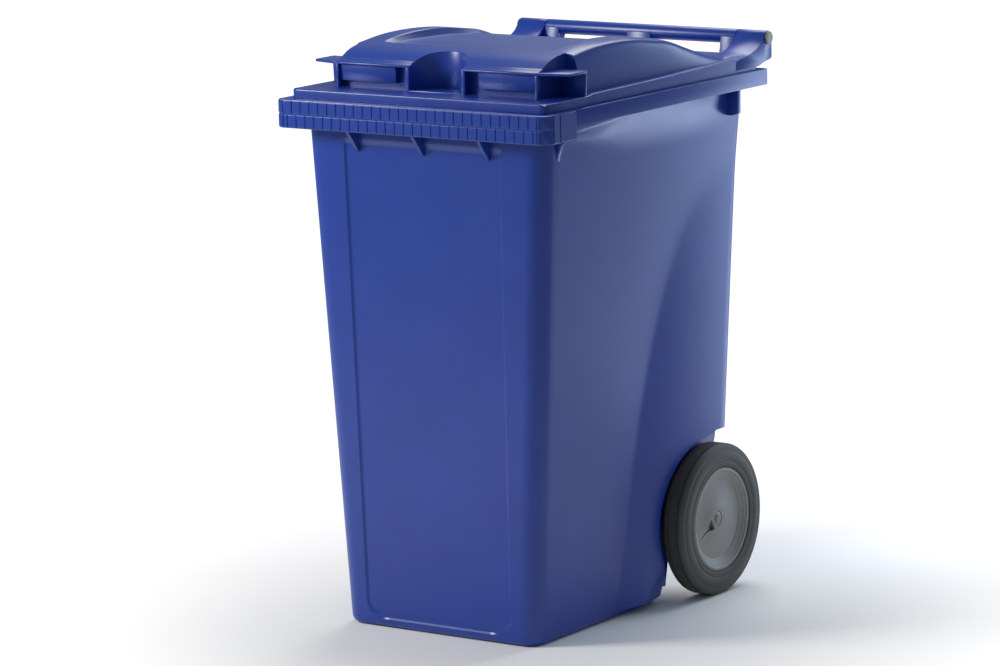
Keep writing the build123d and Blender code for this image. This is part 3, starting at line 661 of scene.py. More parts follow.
def rim_pieces(form):
    """Deep front band, the thinner rim behind it, gussets and ribs; the grip blocks come from rim_blocks."""
    s = form.s
    low, top, relief = form.rim_low, RIM_TOP, s.block_relief
    outside, rear = RIM_HALF - relief, behind(0.1)
    front = rounded(
        [(-outside, rear), (-outside, behind(relief)), (outside, behind(relief)), (outside, rear)],
        [0, 0.0195, 0.0195, 0],
        10,
    )
    skin = 0.004
    lining = rounded(
        [(-outside + skin, rear), (-outside + skin, behind(relief + skin)),
         (outside - skin, behind(relief + skin)), (outside - skin, rear)],
        [0, 0.0155, 0.0155, 0],
        10,
    )
    band = prism_z(np.concatenate([front, lining[::-1]]), low, top - 0.001)
    mouth = 0.270
    opening = [(mouth, rear), (mouth, behind(0.045)), (-mouth, behind(0.045)), (-mouth, rear)]
    plate = prism_z(np.concatenate([front, opening]), top - skin, top)
    half = s.wing_half
    wing_back, wing_front = HINGE.y - BARREL_RADIUS, behind(0.095)
    outer = rounded(
        [(half, wing_front), (half, wing_back), (-half, wing_back), (-half, wing_front)],
        [0, 0.011, 0.011, 0],
        8,
    )
    inner_back = behind(form.back(1.0)) - 0.004
    inside = 0.271
    gap = [(-inside, wing_front), (-inside, inner_back), (inside, inner_back), (inside, wing_front)]
    wings = prism_z(np.concatenate([outer, gap]), top - s.wing_height, top)
    ends = both_sides(block((0.274, behind(0.0965), low), (RIM_HALF - 0.0015, rear, top - 0.001)))
    plain = [band, plate, wings] + ends
    for x in (-0.1495, 0.0, 0.1495):
        gusset = [
            (behind(0.045), low - 0.041), (behind(0.042), low - 0.041), (behind(0.010), low),
            (behind(0.006), low + 0.012), (behind(0.006), top - 0.003), (behind(0.045), top - 0.003),
        ]
        plain.append(prism_x(gusset, x - 0.004, x + 0.004))
    rib_drop = 0.054
    high = low + 0.004
    foot = high - rib_drop
    rib = [(0.262, high), (0.262, foot), (0.271, foot), (0.275, high - 0.034),
           (0.283, high - 0.016), (0.299, high - 0.004), (0.308, high)]
    plain += both_sides(prism_y(rib, behind(0.088), behind(0.099)))
    high = top - s.wing_height + 0.004
    foot = high - rib_drop
    rib = [(0.262, high), (0.262, foot), (0.286, foot), (0.299, foot + 0.004), (0.2995, high)]
    plain += both_sides(prism_y(rib, behind(0.686), behind(0.698)))
    return plain


def rim_blocks(form):
    """Bevelled blocks along the front band, in two staggered rows either side of a groove."""
    s = form.s
    solids = []
    middle = (form.rim_low + RIM_TOP) / 2
    rows = ((form.rim_low + 0.0015, middle - 0.0016, 0.0), (middle + 0.0016, RIM_TOP - 0.0015, 0.5))
    reach = RIM_HALF - 0.0235
    for low, high, shift in rows:
        count = int(2 * reach / s.block_pitch)
        start = -count * s.block_pitch / 2
        for k in range(-1, count + 1):
            x0 = start + (k + shift) * s.block_pitch + 0.0006
            x1 = x0 + s.block_pitch - 0.0012
            x0, x1 = max(x0, -reach), min(x1, reach)
            if x1 - x0 > 0.005:
                solids.append(grip_block((x0, x1), (low, high), s.block_relief, "front"))
    for row_low, row_high, _ in rows:
        solids += both_sides(corner_block((row_low, row_high), s.block_relief))
    whole = (form.rim_low + 0.0015, RIM_TOP - 0.0015)
    for near, far in ((0.0235, 0.044), (0.0455, 0.0985)):
        solids += both_sides(grip_block((behind(near), behind(far)), whole, s.block_relief, "side"))
    return solids


def grip_block(along, height, relief, face):
    """A raised block with sloping edges, on the front face or the right side."""
    (a0, a1), (z0, z1) = along, height
    edge = 0.0012
    rings = []
    for out, draw in ((-0.001, 0.0), (relief * 0.55, 0.0), (relief, edge)):
        near, far, foot, head = a0 + draw, a1 - draw, z0 + draw, z1 - draw
        corners = [(near, foot), (far, foot), (far, head), (near, head)]
        if face == "front":
            rings.append([(a, RIM_FACE + relief - out, z) for a, z in corners])
        else:
            rings.append([(RIM_HALF - relief + out, a, z) for a, z in corners])
    return loft(rings)


def corner_block(height, relief):
    """The block that wraps round the rim's right front corner."""
    z0, z1 = height
    edge, corner = 0.0014, 0.022
    rings = []
    for draw_t, draw_z, out in ((0.0, 0.0, -0.001), (0.0, 0.0, relief * 0.55), (0.06, edge, relief)):
        turn = np.linspace(0.06 + draw_t, math.pi / 2 - 0.06 - draw_t, 9)
        radius = corner - relief + out
        x0, y0 = RIM_HALF - corner, RIM_FACE + corner
        low = [(x0 + radius * math.sin(t), y0 - radius * math.cos(t), z0 + draw_z) for t in turn]
        high = [(x, y, z1 - draw_z) for x, y, _ in low[::-1]]
        rings.append(low + high)
    return loft(rings)


def rod(x0, x1, radius, centre, edge=0.001, turns=48):
    """Round bar along X with eased ends."""
    ends = radius - edge
    profile = [(x0, 0.0), (x0, ends), (x0 + edge, radius), (x1 - edge, radius), (x1, ends), (x1, 0.0)]
    return revolve_x(profile, centre, turns)


def handle_pieces():
    """Ears, the block between them, the web they stand on and the bar."""
    hinge_y, hinge_z = HINGE.y, HINGE.z
    wing_back, foot = hinge_y - BARREL_RADIUS, RIM_TOP - 0.004
    outline = rounded(
        [
            (wing_back, hinge_z + 0.003), (hinge_y - 0.016, hinge_z - 0.006), (wing_back - 0.014, foot),
            (wing_back, foot), (hinge_y + 0.0105, hinge_z - 0.012), (hinge_y + 0.0125, hinge_z + 0.002),
        ],
        0.004,
        3,
    )
    bar_half = 0.2255
    solids = both_sides(prism_x(outline, 0.192, bar_half))
    solids.append(prism_x(outline, -0.028, 0.028))
    web_half = bar_half - 0.001
    web = block(
        (-web_half, wing_back - 0.014, RIM_TOP - 0.003), (web_half, wing_back - 0.001, RIM_TOP + 0.018)
    )
    return solids + [web, rod(-bar_half, bar_half, BARREL_RADIUS, HINGE)]


# ---------------------------------------------------------------- lid


# Heights above the rim's top; distances behind the rim's front face; the lid's corner radius.
FLANGE_RISE = 0.018
ROOF_RISE = 0.066
HOOD_FRONT = 0.110
HOOD_BACK = 0.187
LID_CORNER = 0.014
# Profile of the dome's top, and depth of the sunken panel below it, at distances behind the rim's front face.
DOME = (
    (0.060, ROOF_RISE), (0.092, ROOF_RISE), (0.137, 0.085), (0.205, 0.096), (0.260, 0.102), (0.325, 0.104),
    (0.409, 0.100), (0.460, 0.093), (0.514, 0.085), (0.585, 0.064), (0.657, 0.043), (0.700, 0.036),
    (0.767, 0.030), (0.790, 0.029),
)
SUNK = (
    (0.190, 0.0), (0.215, 0.007), (0.260, 0.011), (0.330, 0.0145), (0.409, 0.0135), (0.480, 0.010),
    (0.545, 0.005), (0.620, 0.0),
)


def smooth_curve(at, points):
    """Smooth curve through (place, value) points, by cubic Hermite pieces with even slopes."""
    places, values = np.array(points).T
    slopes = np.gradient(values, places)
    k = np.clip(np.searchsorted(places, at) - 1, 0, len(places) - 2)
    span = places[k + 1] - places[k]
    t = np.clip((at - places[k]) / span, 0, 1)
    return (
        (2 * t**3 - 3 * t**2 + 1) * values[k]
        + (t**3 - 2 * t**2 + t) * span * slopes[k]
        + (3 * t**2 - 2 * t**3) * values[k + 1]
        + (t**3 - t**2) * span * slopes[k + 1]
    )


class LidForm:
    """Works out the height of the lid's top over a plan grid; y is behind the rim's front face."""

    def __init__(self, sizes):
        self.s = sizes
        self.half = LID_HIGH.x - 0.001
        self.front = LID_LOW.y - RIM_FACE
        self.back = HINGE.y - 0.036 - RIM_FACE
        self.flange = RIM_TOP + FLANGE_RISE
        self.low = LID_LOW.z

    def edge_distance(self, x, y):
        """Distance in from the lid's edge, whose corners are rounded."""
        radius = LID_CORNER
        out_x = np.abs(x) - (self.half - radius)
        out_y = np.maximum(self.front + radius - y, y - (self.back - radius))
        inside = np.minimum(np.maximum(out_x, out_y), 0)
        return radius - np.hypot(np.maximum(out_x, 0), np.maximum(out_y, 0)) - inside

    def top(self, x, y):
        """Height of the outer skin: flange, hood, dome with its sunken panel, and side ridges."""
        s = self.s
        across = np.abs(x)
        rise = smooth_curve(y, DOME)
        drop = smooth_curve(y, SUNK) * (y > SUNK[0][0]) * (y < SUNK[-1][0])
        rise = rise - drop * smoothstep((s.panel_half - across) / 0.010)
        hump = np.clip((across - 0.215) / 0.035, 0, 1) ** 2 * 0.004
        rise = rise - hump * (y > HOOD_BACK)
        wall = np.clip((0.262 - across) / 0.018, 0, 1)
        wide = FLANGE_RISE + (rise - FLANGE_RISE) * (1 - (1 - wall) ** 2.6)
        narrow = np.where(across < s.hood_half, rise, FLANGE_RISE)
        hood = np.where(y < HOOD_FRONT, FLANGE_RISE, narrow)
        result = np.where(y < HOOD_BACK, hood, wide)
        result = np.where(y > self.back - 0.008, FLANGE_RISE, result)
        ridge = np.interp(y, [0.172, 0.19, 0.40, 0.60, 0.70], [0.0, 0.003, 0.005, 0.009, 0.014])
        result = result + ridge * smoothstep((across - 0.264) / 0.014)
        ease = 0.003
        distance = np.clip(self.edge_distance(x, y), 0, ease)
        eased = ease - np.sqrt(np.maximum(0.0, ease**2 - (ease - distance) ** 2))
        return RIM_TOP + result - eased

    def bottom(self, x, y):
        """Underside: the top drawn in by the skin on every side, and a skirt round the edge."""
        skin = self.s.skin
        lowest = self.top(x, y)
        for turn in np.linspace(0, 2 * math.pi, 8, endpoint=False):
            lowest = np.minimum(lowest, self.top(x + skin * math.cos(turn), y + skin * math.sin(turn)))
        skirt = self.edge_distance(x, y) < skin
        return np.where(skirt, self.low, np.maximum(lowest - skin, self.low + 0.001))

    def lines(self):
        """Grid lines, in pairs either side of each wall."""
        skin, half = self.s.skin, self.half
        gap = 0.0004
        xs = list(np.linspace(0, 0.180, 12)) + [0.184, 0.188, 0.191, 0.194, 0.199, 0.206, 0.215, 0.223]
        xs += [0.240, 0.243, 0.246, 0.249, 0.252, 0.2545, 0.257, 0.259, 0.2605, 0.262]
        xs += [0.264, 0.266, 0.2685, 0.271, 0.2735, 0.276, 0.279]
        rounding = (0, 0.0003, 0.0009, 0.0018, 0.003, skin, skin + gap)
        xs += [half - inset for inset in rounding]
        for wall in (self.s.scoop + 0.001, self.s.hood_half):
            xs += [wall - gap, wall + gap, wall - skin, wall + skin]
        ys = list(np.arange(0.195, 0.300, 0.007)) + list(np.arange(0.305, 0.770, 0.0125))
        for wall in (HOOD_FRONT, HOOD_BACK, self.back - 0.008):
            ys += [wall - gap, wall + gap, wall - skin, wall + skin]
        ys += list(np.linspace(0.092, 0.182, 13)) + [0.190]
        for edge, inward in ((self.front, 1), (self.back, -1)):
            ys += [edge + inward * inset for inset in (*rounding, 0.008, 0.014)]
        xs = merge_lines(xs)
        return np.concatenate([-xs[:0:-1], xs]), merge_lines(ys)

    def plan(self, x, y):
        """Draws grid points that fall outside the rounded corners in to the corner's arc."""
        radius = LID_CORNER
        middle_x = np.clip(x, -(self.half - radius), self.half - radius)
        middle_y = np.clip(y, self.front + radius, self.back - radius)
        away = np.hypot(x - middle_x, y - middle_y)
        scale = np.where(away > radius, radius / np.maximum(away, 1e-9), 1.0)
        return middle_x + (x - middle_x) * scale, middle_y + (y - middle_y) * scale


def merge_lines(values):
    """Sorted values with near repeats dropped."""
    kept = []
    for value in sorted(float(v) for v in values):
        if not kept or value - kept[-1] > 0.00025:
            kept.append(value)
    return np.array(kept)


def lid_skin(form):
    """The lid's shell as a closed grid: top, underside and the skirt's foot."""
    xs, ys = form.lines()
    x, y = np.meshgrid(xs, ys, indexing="ij")
    x, y = form.plan(x, y)
    wide, deep = x.shape
    top = np.column_stack([x.ravel(), y.ravel() + RIM_FACE, form.top(x, y).ravel()])
    under = np.column_stack([x.ravel(), y.ravel() + RIM_FACE, form.bottom(x, y).ravel()])
    index = np.arange(wide * deep).reshape(wide, deep)
    a, b, c, d = index[:-1, :-1], index[1:, :-1], index[1:, 1:], index[:-1, 1:]
    quads = np.stack([a, b, c, d], axis=-1).reshape(-1, 4)
    count = wide * deep
    border = [*index[:, 0], *index[-1, 1:], *index[-2::-1, -1], *index[0, -2:0:-1]]
    sides = [(border[i - 1], border[i], border[i] + count, border[i - 1] + count) for i in range(len(border))]
    faces = [tuple(q) for q in quads] + [tuple(q + count) for q in quads[:, ::-1]] + sides
    return np.concatenate([top, under]), faces


# Centre of the scoop and front edge of the grips' roof, behind the rim's front face.
SCOOP_MIDDLE = 0.093
ROOF_FRONT = 0.0905


def scoop_outline(radius, front):
    """Plan of the scoop: a half circle open to the front."""
    angles = np.linspace(0, math.pi, 48)
    arc = [(radius * math.cos(t), behind(SCOOP_MIDDLE) + radius * math.sin(t)) for t in angles]
    return [(radius, behind(front))] + arc + [(-radius, behind(front))]


def lid_extras(form):
    """Scoop wall and floor, hood flaps, roof plates with end ribs, and hinge arms."""
    s = form.s
    floor = form.flange + 0.0012
    foot = floor - 0.004
    inner = scoop_outline(s.scoop, ROOF_FRONT)
    outer = scoop_outline(s.scoop + 0.008, ROOF_FRONT)
    rings = []
    for (x0, y0), (x1, y1) in zip(inner, outer):
        high = RIM_TOP + float(smooth_curve(y0 - RIM_FACE, DOME)) - 0.0006
        rings.append([(x0, y0, foot), (x1, y1, foot), (x1, y1, high - 0.001), (x0, y0, high)])
    solids = [loft(rings), prism_z(scoop_outline(s.scoop + 0.001, ROOF_FRONT), form.flange - 0.003, floor)]
    roof = RIM_TOP + ROOF_RISE
    edge = behind(ROOF_FRONT)
    lip = [(edge, roof - 0.0045), (edge, roof - 0.001), (behind(0.0925), roof + 0.0003)]
    lip += [(behind(y), RIM_TOP + float(smooth_curve(y, DOME))) for y in (0.096, 0.100, 0.105, 0.1104)]
    lip.append((behind(0.1104), roof - 0.0045))
    solids += both_sides(prism_x(lip, s.scoop + 0.001, s.hood_half))
    under_roof, flap_back, flap_foot = roof - 0.003, behind(0.112), form.flange + 0.012
    wall = [
        (flap_back, flap_foot), (behind(0.098), flap_foot), (behind(0.0965), under_roof),
        (flap_back, under_roof),
    ]
    solids += both_sides(prism_x(wall, 0.095, s.hood_half - 0.001))
    root = form.flange - 0.002
    post = block((s.hood_half - 0.006, behind(0.0915), root), (s.hood_half, flap_back, under_roof))
    solids += both_sides(post)
    half = form.half
    wing = [
        (s.hood_half - 0.002, behind(0.0915)), (s.hood_half + 0.002, behind(0.092)), (half, behind(0.108)),
        (half, behind(0.168)), (s.hood_half - 0.002, behind(0.168)),
    ]
    solids += both_sides(prism_z(rounded(wing, [0, 0, 0.006, 0.002, 0], 4), roof - 0.005, roof))
    rib_inside = s.hood_half - 0.001
    rib = [
        (rib_inside, root), (half - 0.003, root), (half - 0.001, under_roof), (rib_inside, under_roof)
    ]
    solids += both_sides(prism_y(rib, behind(0.163), behind(0.168)))
    hinge_y, hinge_z = HINGE.y, HINGE.z
    barrel = [
        (hinge_y + BARREL_RADIUS * math.cos(t), hinge_z + BARREL_RADIUS * math.sin(t))
        for t in np.linspace(math.radians(150), math.radians(-20), 20)
    ]
    # Arm's upper edge from its root up to the barrel: in front of the hinge, above the flange.
    sweep = [
        (hinge_y - before, form.flange + rise)
        for before, rise in (
            (0.1215, -0.004), (0.120, 0.006), (0.095, 0.012), (0.070, 0.015), (0.045, 0.022), (0.028, 0.031),
            (0.018, 0.040),
        )
    ]
    arm_foot = RIM_TOP + 0.006
    under = [
        (hinge_y + 0.0135, hinge_z - 0.038), (hinge_y + 0.010, hinge_z - 0.042),
        (hinge_y - 0.0165, hinge_z - 0.0465), (hinge_y - 0.036, arm_foot), (hinge_y - 0.1215, arm_foot),
    ]
    solids += both_sides(prism_x(sweep + barrel + under, 0.2265, 0.2925))
    return solids


def cut_scoop(skin, form):
    """Opens the hood where the hand goes in."""
    outline = scoop_outline(form.s.scoop + 0.0005, 0.060)
    cut_away(skin, prism_z(outline, form.flange + 0.0005, RIM_TOP + 0.13))


# ---------------------------------------------------------------- wheels


def arc_points(centre, radius, first, last, steps):
    """Points of an arc in a profile, angles in degrees."""
    return [
        (centre[0] + radius * math.cos(math.radians(t)), centre[1] + radius * math.sin(math.radians(t)))
        for t in np.linspace(first, last, steps)
    ]


def tyre_profile(sizes):
    """Right tyre as (x, radius): grooved tread, round shoulders and a convex outer wall with rings."""
    inner, outer = TYRE_LOW.x, TYRE_HIGH.x
    radius, shoulder, hub = (TYRE_HIGH.z - TYRE_LOW.z) / 2, sizes.shoulder, sizes.hub_radius
    middle = (inner + outer) / 2
    points = arc_points((inner + shoulder, radius - shoulder), shoulder, 180, 90, 8)
    groove_place, groove_half, groove_foot, groove_depth = 0.011, 0.0024, 0.0016, 0.003
    for groove in (middle - groove_place, middle + groove_place):
        points += [
            (groove - groove_half, radius), (groove - groove_foot, radius - groove_depth),
            (groove + groove_foot, radius - groove_depth), (groove + groove_half, radius),
        ]
    points += arc_points((outer - 0.0012 - shoulder, radius - shoulder), shoulder, 90, 12, 9)
    span = radius - shoulder - hub
    wall_rings = (
        (0.10, -0.0014), (0.14, -0.0004), (0.40, 0.0), (0.62, -0.0003), (0.66, -0.0012), (0.72, -0.0012),
        (0.76, -0.0004), (0.90, -0.0012), (1.0, -0.0045),
    )
    points += [(outer + out, radius - shoulder - share * span) for share, out in wall_rings]
    points += [(outer - 0.006, hub), (inner + 0.004, hub), (inner, hub + 0.004)]
    return points


def hub_profile(sizes):
    """Right hub as (x, radius): barrel, recessed disc, stepped ring and rounded lip."""
    outer = TYRE_HIGH.x
    face = outer - sizes.recess
    inner = HUB_LOW.x
    hub, disc = sizes.hub_radius, sizes.disc_radius
    bore = (CAP_HIGH.z - CAP_LOW.z) / 2
    lip_radius = 0.0040
    lip = arc_points((outer - 0.0060, hub - 0.0042), lip_radius, 90, 0, 6)
    lip += arc_points((outer - 0.0060, hub - 0.0050), lip_radius, 0, -70, 5)
    steps = (
        (0.0074, 0.0140), (0.0068, 0.0115), (0.0050, 0.0100), (0.0022, 0.0040), (0.0018, 0.0020), (0.0, 0.0),
    )
    ring = [(face + out, disc + up) for out, up in steps]
    boss = [(face, 0.034), (face + 0.0008, 0.032), (face + 0.0008, bore + 0.0008), (face, bore + 0.0002)]
    back = [(face - 0.008, bore), (inner, bore), (inner, 0.027), (face - 0.008, 0.027),
            (face - 0.008, disc + 0.006), (TYRE_LOW.x + 0.006, hub - 0.007), (TYRE_LOW.x + 0.006, hub)]
    return back + lip + ring + boss


def along_catch(outline, low, high):
    """Solid from an outline of (distance from the axle along the catch's line, offset across it)."""
    across = CATCH_LINE.cross(Vector((1, 0, 0))).normalized()
    centre = Vector((0, AXLE.y, AXLE.z))
    rings = []
    for x in (low, high):
        middle = centre + Vector((x, 0, 0))
        rings.append([tuple(middle + CATCH_LINE * a + across * b) for a, b in outline])
    return loft(rings)


def catch_room(sizes):
    """Three-cornered hole for the catch in the right hub, and the groove that runs from it."""
    face = TYRE_HIGH.x - sizes.recess
    hole = [(0.0185, -0.0125), (0.0400, -0.0030), (0.0400, 0.0030), (0.0185, 0.0125)]
    groove = [(0.0390, -0.0022), (0.0700, -0.0007), (0.0700, 0.0007), (0.0390, 0.0022)]
    return [along_catch(hole, face - 0.0100, face + 0.004), along_catch(groove, face - 0.0035, face + 0.004)]


# ---------------------------------------------------------------- operators


class PieceOperator(bpy.types.Operator):
    """Makes one piece of the bin."""

    bl_options = {"REGISTER", "UNDO"}

    def build(self, scene):
        raise NotImplementedError

    def execute(self, context):
        self.build(context.scene)
        return {"FINISHED"}


class BIN_OT_tub(PieceOperator):
    """Body, arches and axle brackets."""

    bl_idname = "bin.tub"
    bl_label = "Tub"

    def build(self, scene):
        form = TubForm(scene.bin_tub)
        shell = tub_shell(form)
        extras = mesh_object("tub_extras", joined(arch_liner(form) + axle_brackets(form)))
        soften(extras, 0.0008, 1)
        piece = join_objects("tub_body", [shell, extras])
        smooth_shade(piece, 28)
        finish_piece(piece, "tub", "tub_plastic", "polyethylene moulded, tub", "tub")


class BIN_OT_rim(PieceOperator):
    """Rim with its grip blocks, gussets and ribs."""

    bl_idname = "bin.rim"
    bl_label = "Rim"

    def build(self, scene):
        form = TubForm(scene.bin_tub)
        plain = mesh_object("rim_plain", joined(rim_pieces(form)))
        soften(plain, 0.0012, 2)
        blocks = mesh_object("rim_blocks", joined(rim_blocks(form)))
        piece = join_objects("rim", [plain, blocks])
        smooth_shade(piece, 28)
        finish_piece(piece, "tub", "tub_plastic", "polyethylene moulded, tub", "tub_rim")


class BIN_OT_handle(PieceOperator):
    """Handle bar, ears and web."""

    bl_idname = "bin.handle"
    bl_label = "Handle"

    def build(self, scene):
        piece = mesh_object("handle", joined(handle_pieces()))
        soften(piece, 0.0012, 2)
        smooth_shade(piece, 30)
        finish_piece(piece, "tub", "tub_plastic", "polyethylene moulded, tub", "tub_handle")


class BIN_OT_lid(PieceOperator):
    """Lid with dome, hood, scoop and hinge arms."""

    bl_idname = "bin.lid"
    bl_label = "Lid"

    def build(self, scene):
        form = LidForm(scene.bin_lid)
        skin = mesh_object("lid_skin", lid_skin(form))
        cut_scoop(skin, form)
        extras = mesh_object("lid_extras", joined(lid_extras(form)))
        soften(extras, 0.001, 2)
        piece = join_objects("lid_shell", [skin, extras])
        smooth_shade(piece, 32)
        finish_piece(piece, "lid", "lid_plastic", "polyethylene moulded, lid", "lid")


class BIN_OT_wheels(PieceOperator):
    """Tyres and hubs."""

    bl_idname = "bin.wheels"
    bl_label = "Wheels"

    def build(self, scene):
        sizes = scene.bin_wheels
        for side, flip in SIDES:
            tyre = mesh_object(f"tyre_shell_{side}", flip(revolve_x(tyre_profile(sizes), AXLE, 128)))
            smooth_shade(tyre, 32)
            body = f"wheel_{side}"
            finish_piece(tyre, body, "tyre_rubber", "rubber tyre, vulcanised", f"tyre_{side}")
            hub = mesh_object(f"hub_{side}", flip(revolve_x(hub_profile(sizes), AXLE, 96)))
            for room in catch_room(sizes):
                cut_away(hub, flip(room))
            smooth_shade(hub, 32)
            finish_piece(hub, body, "hub_plastic", "polypropylene moulded, hub", f"wheel_hub_{side}")
            boss = (CAP_HIGH.z - CAP_LOW.z) / 2 - 0.0003
            dish = (
                (0.0042, boss), (0.0038, 0.0125), (0.0030, 0.0095), (0.0012, 0.0085), (0.0003, 0.006),
                (0.0, 0.0),
            )
            profile = [(CAP_LOW.x, 0.0), (CAP_LOW.x, boss)] + [(CAP_HIGH.x - back, up) for back, up in dish]
            cap = mesh_object(f"cap_{side}", flip(revolve_x(profile, AXLE, 48)))
            smooth_shade(cap, 40)
            finish_piece(cap, body, "cap_plastic", "polypropylene moulded, hub", f"hub_cap_{side}")


class BIN_OT_hardware(PieceOperator):
    """Axle, hinge pins, and finishes on the small hidden CAD pieces."""

    bl_idname = "bin.hardware"
    bl_label = "Hardware"

    def build(self, scene):
        low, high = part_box("axle")
        axle = mesh_object("axle_bar", rod(low.x, high.x, (high.z - low.z) / 2, AXLE, 0.0015, 64))
        smooth_shade(axle, 30)
        finish_piece(axle, "tub", "axle_steel", "zinc-plated steel", "axle")
        head, shank = (PIN_HIGH.z - PIN_LOW.z) / 2, 0.008
        for side, flip in SIDES:
            top = (
                (0.003, shank), (0.003, head), (0.0012, head), (0.0003, head - 0.0010), (0.0, head - 0.0025),
                (0.0, 0.0),
            )
            profile = [(PIN_LOW.x, 0.0), (PIN_LOW.x, shank)] + [(PIN_HIGH.x - back, up) for back, up in top]
            pin = mesh_object(f"pin_{side}", flip(revolve_x(profile, HINGE, 48)))
            smooth_shade(pin, 40)
            finish_piece(pin, "tub", "pin_plastic", "nylon moulded, pin", f"hinge_pin_{side}")
            for node, slot, name in (
                (f"axle_washer_{side}", "washer_steel", "zinc-plated steel"),
                (f"inner_bush_{side}", "bush_plastic", "acetal moulded, bush"),
                (f"outer_bush_{side}", "bush_plastic", "acetal moulded, bush"),
                (f"wheel_catch_{side}", "catch_plastic", "nylon moulded, catch"),
            ):
                small = frame["nodes"][node]
                small.data.materials.clear()
                small.data.materials.append(material_named(name))


def join_objects(name, parts):
    """One object from several, keeping each mesh's faces."""
    work = bmesh.new()
    for part in parts:
        work.from_mesh(part.data)
    mesh = bpy.data.meshes.new(name)
    work.to_mesh(mesh)
    work.free()
    for part in parts:
        bpy.data.objects.remove(part)
    piece = bpy.data.objects.new(name, mesh)
    bpy.context.scene.collection.objects.link(piece)
    return piece


def area_light(name, place, aim, size, power, colour=(1, 1, 1)):
    """Softbox at a place, turned to a point."""
    light = bpy.data.lights.new(name, "AREA")
    light.shape, light.size, light.size_y = "RECTANGLE", size[0], size[1]
    light.energy, light.color = power, colour
    lamp = bpy.data.objects.new(name, light)
    lamp.location = place
    lamp.visible_camera = False
    lamp.rotation_euler = (Vector(aim) - Vector(place)).to_track_quat("-Z", "Y").to_euler()
    bpy.context.scene.collection.objects.link(lamp)
    return lamp


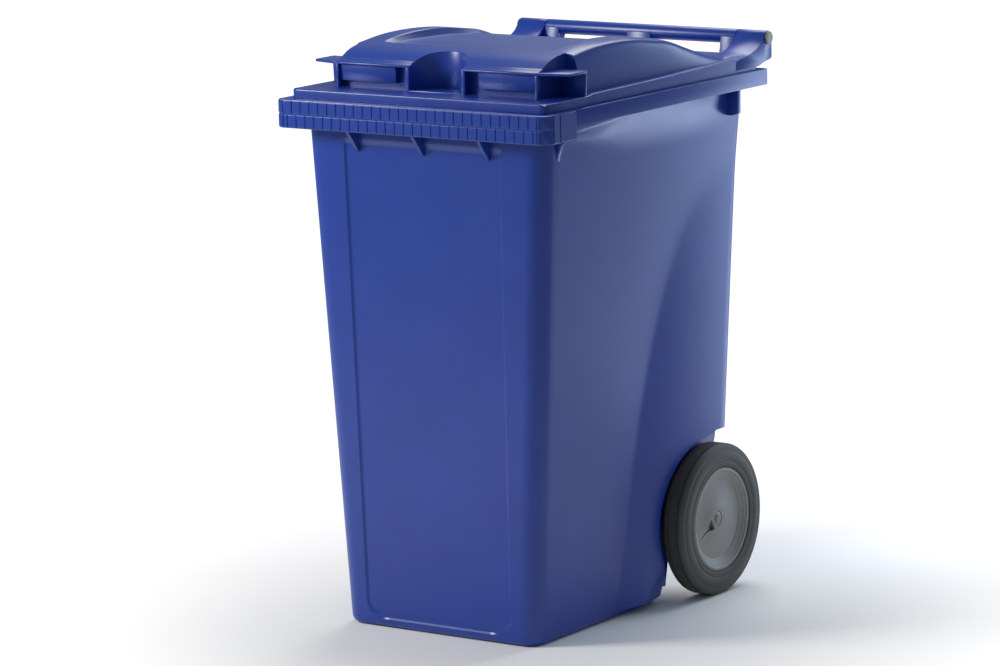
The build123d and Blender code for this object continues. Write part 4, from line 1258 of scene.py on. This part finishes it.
class BIN_OT_stage(PieceOperator):
    """White floor, softboxes and camera."""

    bl_idname = "bin.stage"
    bl_label = "Stage"

    def build(self, scene):
        s = scene.bin_stage
        half = 15
        floor = mesh_object("floor", block((-half, -half, -0.06), (half, half, -0.0004)))
        floor.data.materials.append(self.floor_paint(scene.bin_finishes.floor))
        self.sky(scene)
        middle = (CAD_BOX[0] + CAD_BOX[1]) / 2
        key_aim, rear_aim = middle + Vector((-0.15, -0.3, 0.0)), middle + Vector((0.25, 0.30, 0.15))
        scene.view_settings.view_transform = "Standard"
        lamps = [
            area_light("key", (-1.75, -1.95, 1.95), key_aim, (0.8, 0.8), 53),
            area_light("rear", (0.57, 0.97, 0.75), rear_aim, (0.22, 1.3), 5, (0.6, 0.76, 1)),
            area_light("top", (-0.3, 1.7, 3.2), middle, (2.2, 2.2), 60),
        ]
        camera = bpy.data.cameras.new("camera")
        camera.lens, camera.sensor_width = s.lens, 36.0
        camera.clip_end = 100
        out = Vector((
            math.sin(s.azimuth) * math.cos(s.elevation),
            -math.cos(s.azimuth) * math.cos(s.elevation),
            math.sin(s.elevation),
        ))
        level = (-out).cross(Vector((0, 0, 1))).normalized()
        upward = level.cross(-out)
        right = math.cos(s.roll) * level + math.sin(s.roll) * upward
        up = -math.sin(s.roll) * level + math.cos(s.roll) * upward
        place = Vector(s.target) + out * s.distance
        viewer = bpy.data.objects.new("camera", camera)
        viewer.matrix_world = Matrix.Translation(place) @ Matrix((right, up, out)).transposed().to_4x4()
        scene.collection.objects.link(viewer)
        scene.camera = viewer

    def floor_paint(self, colour):
        """Seamless studio paper: matt, with a faint pulp texture, burnt out to white away from the bin."""
        material, tree, place = new_material("paper backdrop, matt")
        pulp = noise(tree, place, 8, 3.0, 0.5)
        bump = add_node(tree, "ShaderNodeBump", {"Strength": 0.1, "Distance": 0.1 * MM}, {"Height": pulp})
        away = add_node(tree, "ShaderNodeVectorMath", {"operation": "LENGTH"}, {0: place}).outputs["Value"]
        fade = {"interpolation_type": "SMOOTHSTEP", "From Min": 0.5, "From Max": 1.2}
        far = add_node(tree, "ShaderNodeMapRange", fade, {"Value": away}).outputs["Result"]
        relief = bump.outputs["Normal"]
        paper = add_node(tree, "ShaderNodeBsdfDiffuse", {"Color": linear(colour)}, {"Normal": relief})
        glow = add_node(tree, "ShaderNodeEmission", {"Color": (1, 1, 1, 1), "Strength": 1.1})
        seen = add_node(tree, "ShaderNodeLightPath").outputs["Is Camera Ray"]
        burnt = add_node(tree, "ShaderNodeMath", {"operation": "MULTIPLY"}, {0: far, 1: seen}).outputs[0]
        mix = add_node(tree, "ShaderNodeMixShader", {}, {0: burnt, 1: paper.outputs[0], 2: glow.outputs[0]})
        add_node(tree, "ShaderNodeOutputMaterial", {}, {"Surface": mix.outputs[0]})
        return material

    def sky(self, scene):
        """White to the camera; dimmer as light, so that the softboxes shape the bin."""
        world = bpy.data.worlds.new("studio")
        scene.world = world
        world.use_nodes = True
        tree = world.node_tree
        tree.nodes.clear()
        seen = add_node(tree, "ShaderNodeLightPath").outputs["Is Camera Ray"]
        white = add_node(tree, "ShaderNodeBackground", {"Color": (1, 1, 1, 1), "Strength": 1.05})
        fill = add_node(tree, "ShaderNodeBackground", {"Color": (0.72, 0.85, 1, 1), "Strength": 0.28})
        mix = add_node(tree, "ShaderNodeMixShader", {}, {0: seen, 1: fill.outputs[0], 2: white.outputs[0]})
        add_node(tree, "ShaderNodeOutputWorld", {}, {"Surface": mix.outputs[0]})


PIECES = (BIN_OT_tub, BIN_OT_rim, BIN_OT_handle, BIN_OT_lid, BIN_OT_wheels, BIN_OT_hardware, BIN_OT_stage)
GROUPS = {
    "bin_tub": TubSizes,
    "bin_lid": LidSizes,
    "bin_wheels": WheelSizes,
    "bin_finishes": Finishes,
    "bin_stage": StageSizes,
}


class BIN_PT_panel(bpy.types.Panel):
    """Sizes, finishes and one button per piece."""

    bl_idname = "BIN_PT_panel"
    bl_label = "Wheelie Bin"
    bl_space_type = "VIEW_3D"
    bl_region_type = "UI"
    bl_category = "Bin"

    def draw(self, context):
        for name, group in GROUPS.items():
            box = self.layout.box()
            box.label(text=group.__doc__)
            for field in group.__annotations__:
                box.prop(getattr(context.scene, name), field)
        for piece in PIECES:
            self.layout.operator(piece.bl_idname)


def register():
    for group in GROUPS.values():
        bpy.utils.register_class(group)
    for piece in PIECES:
        bpy.utils.register_class(piece)
    bpy.utils.register_class(BIN_PT_panel)
    for name, group in GROUPS.items():
        setattr(bpy.types.Scene, name, bpy.props.PointerProperty(type=group))


def unregister():
    for name in GROUPS:
        delattr(bpy.types.Scene, name)
    bpy.utils.unregister_class(BIN_PT_panel)
    for piece in reversed(PIECES):
        bpy.utils.unregister_class(piece)
    for group in reversed(list(GROUPS.values())):
        bpy.utils.unregister_class(group)


def main():
    register()
    bpy.ops.bin.tub()
    bpy.ops.bin.rim()
    bpy.ops.bin.handle()
    bpy.ops.bin.lid()
    bpy.ops.bin.wheels()
    bpy.ops.bin.hardware()
    bpy.ops.bin.stage()


if __name__ == "__main__":
    main()
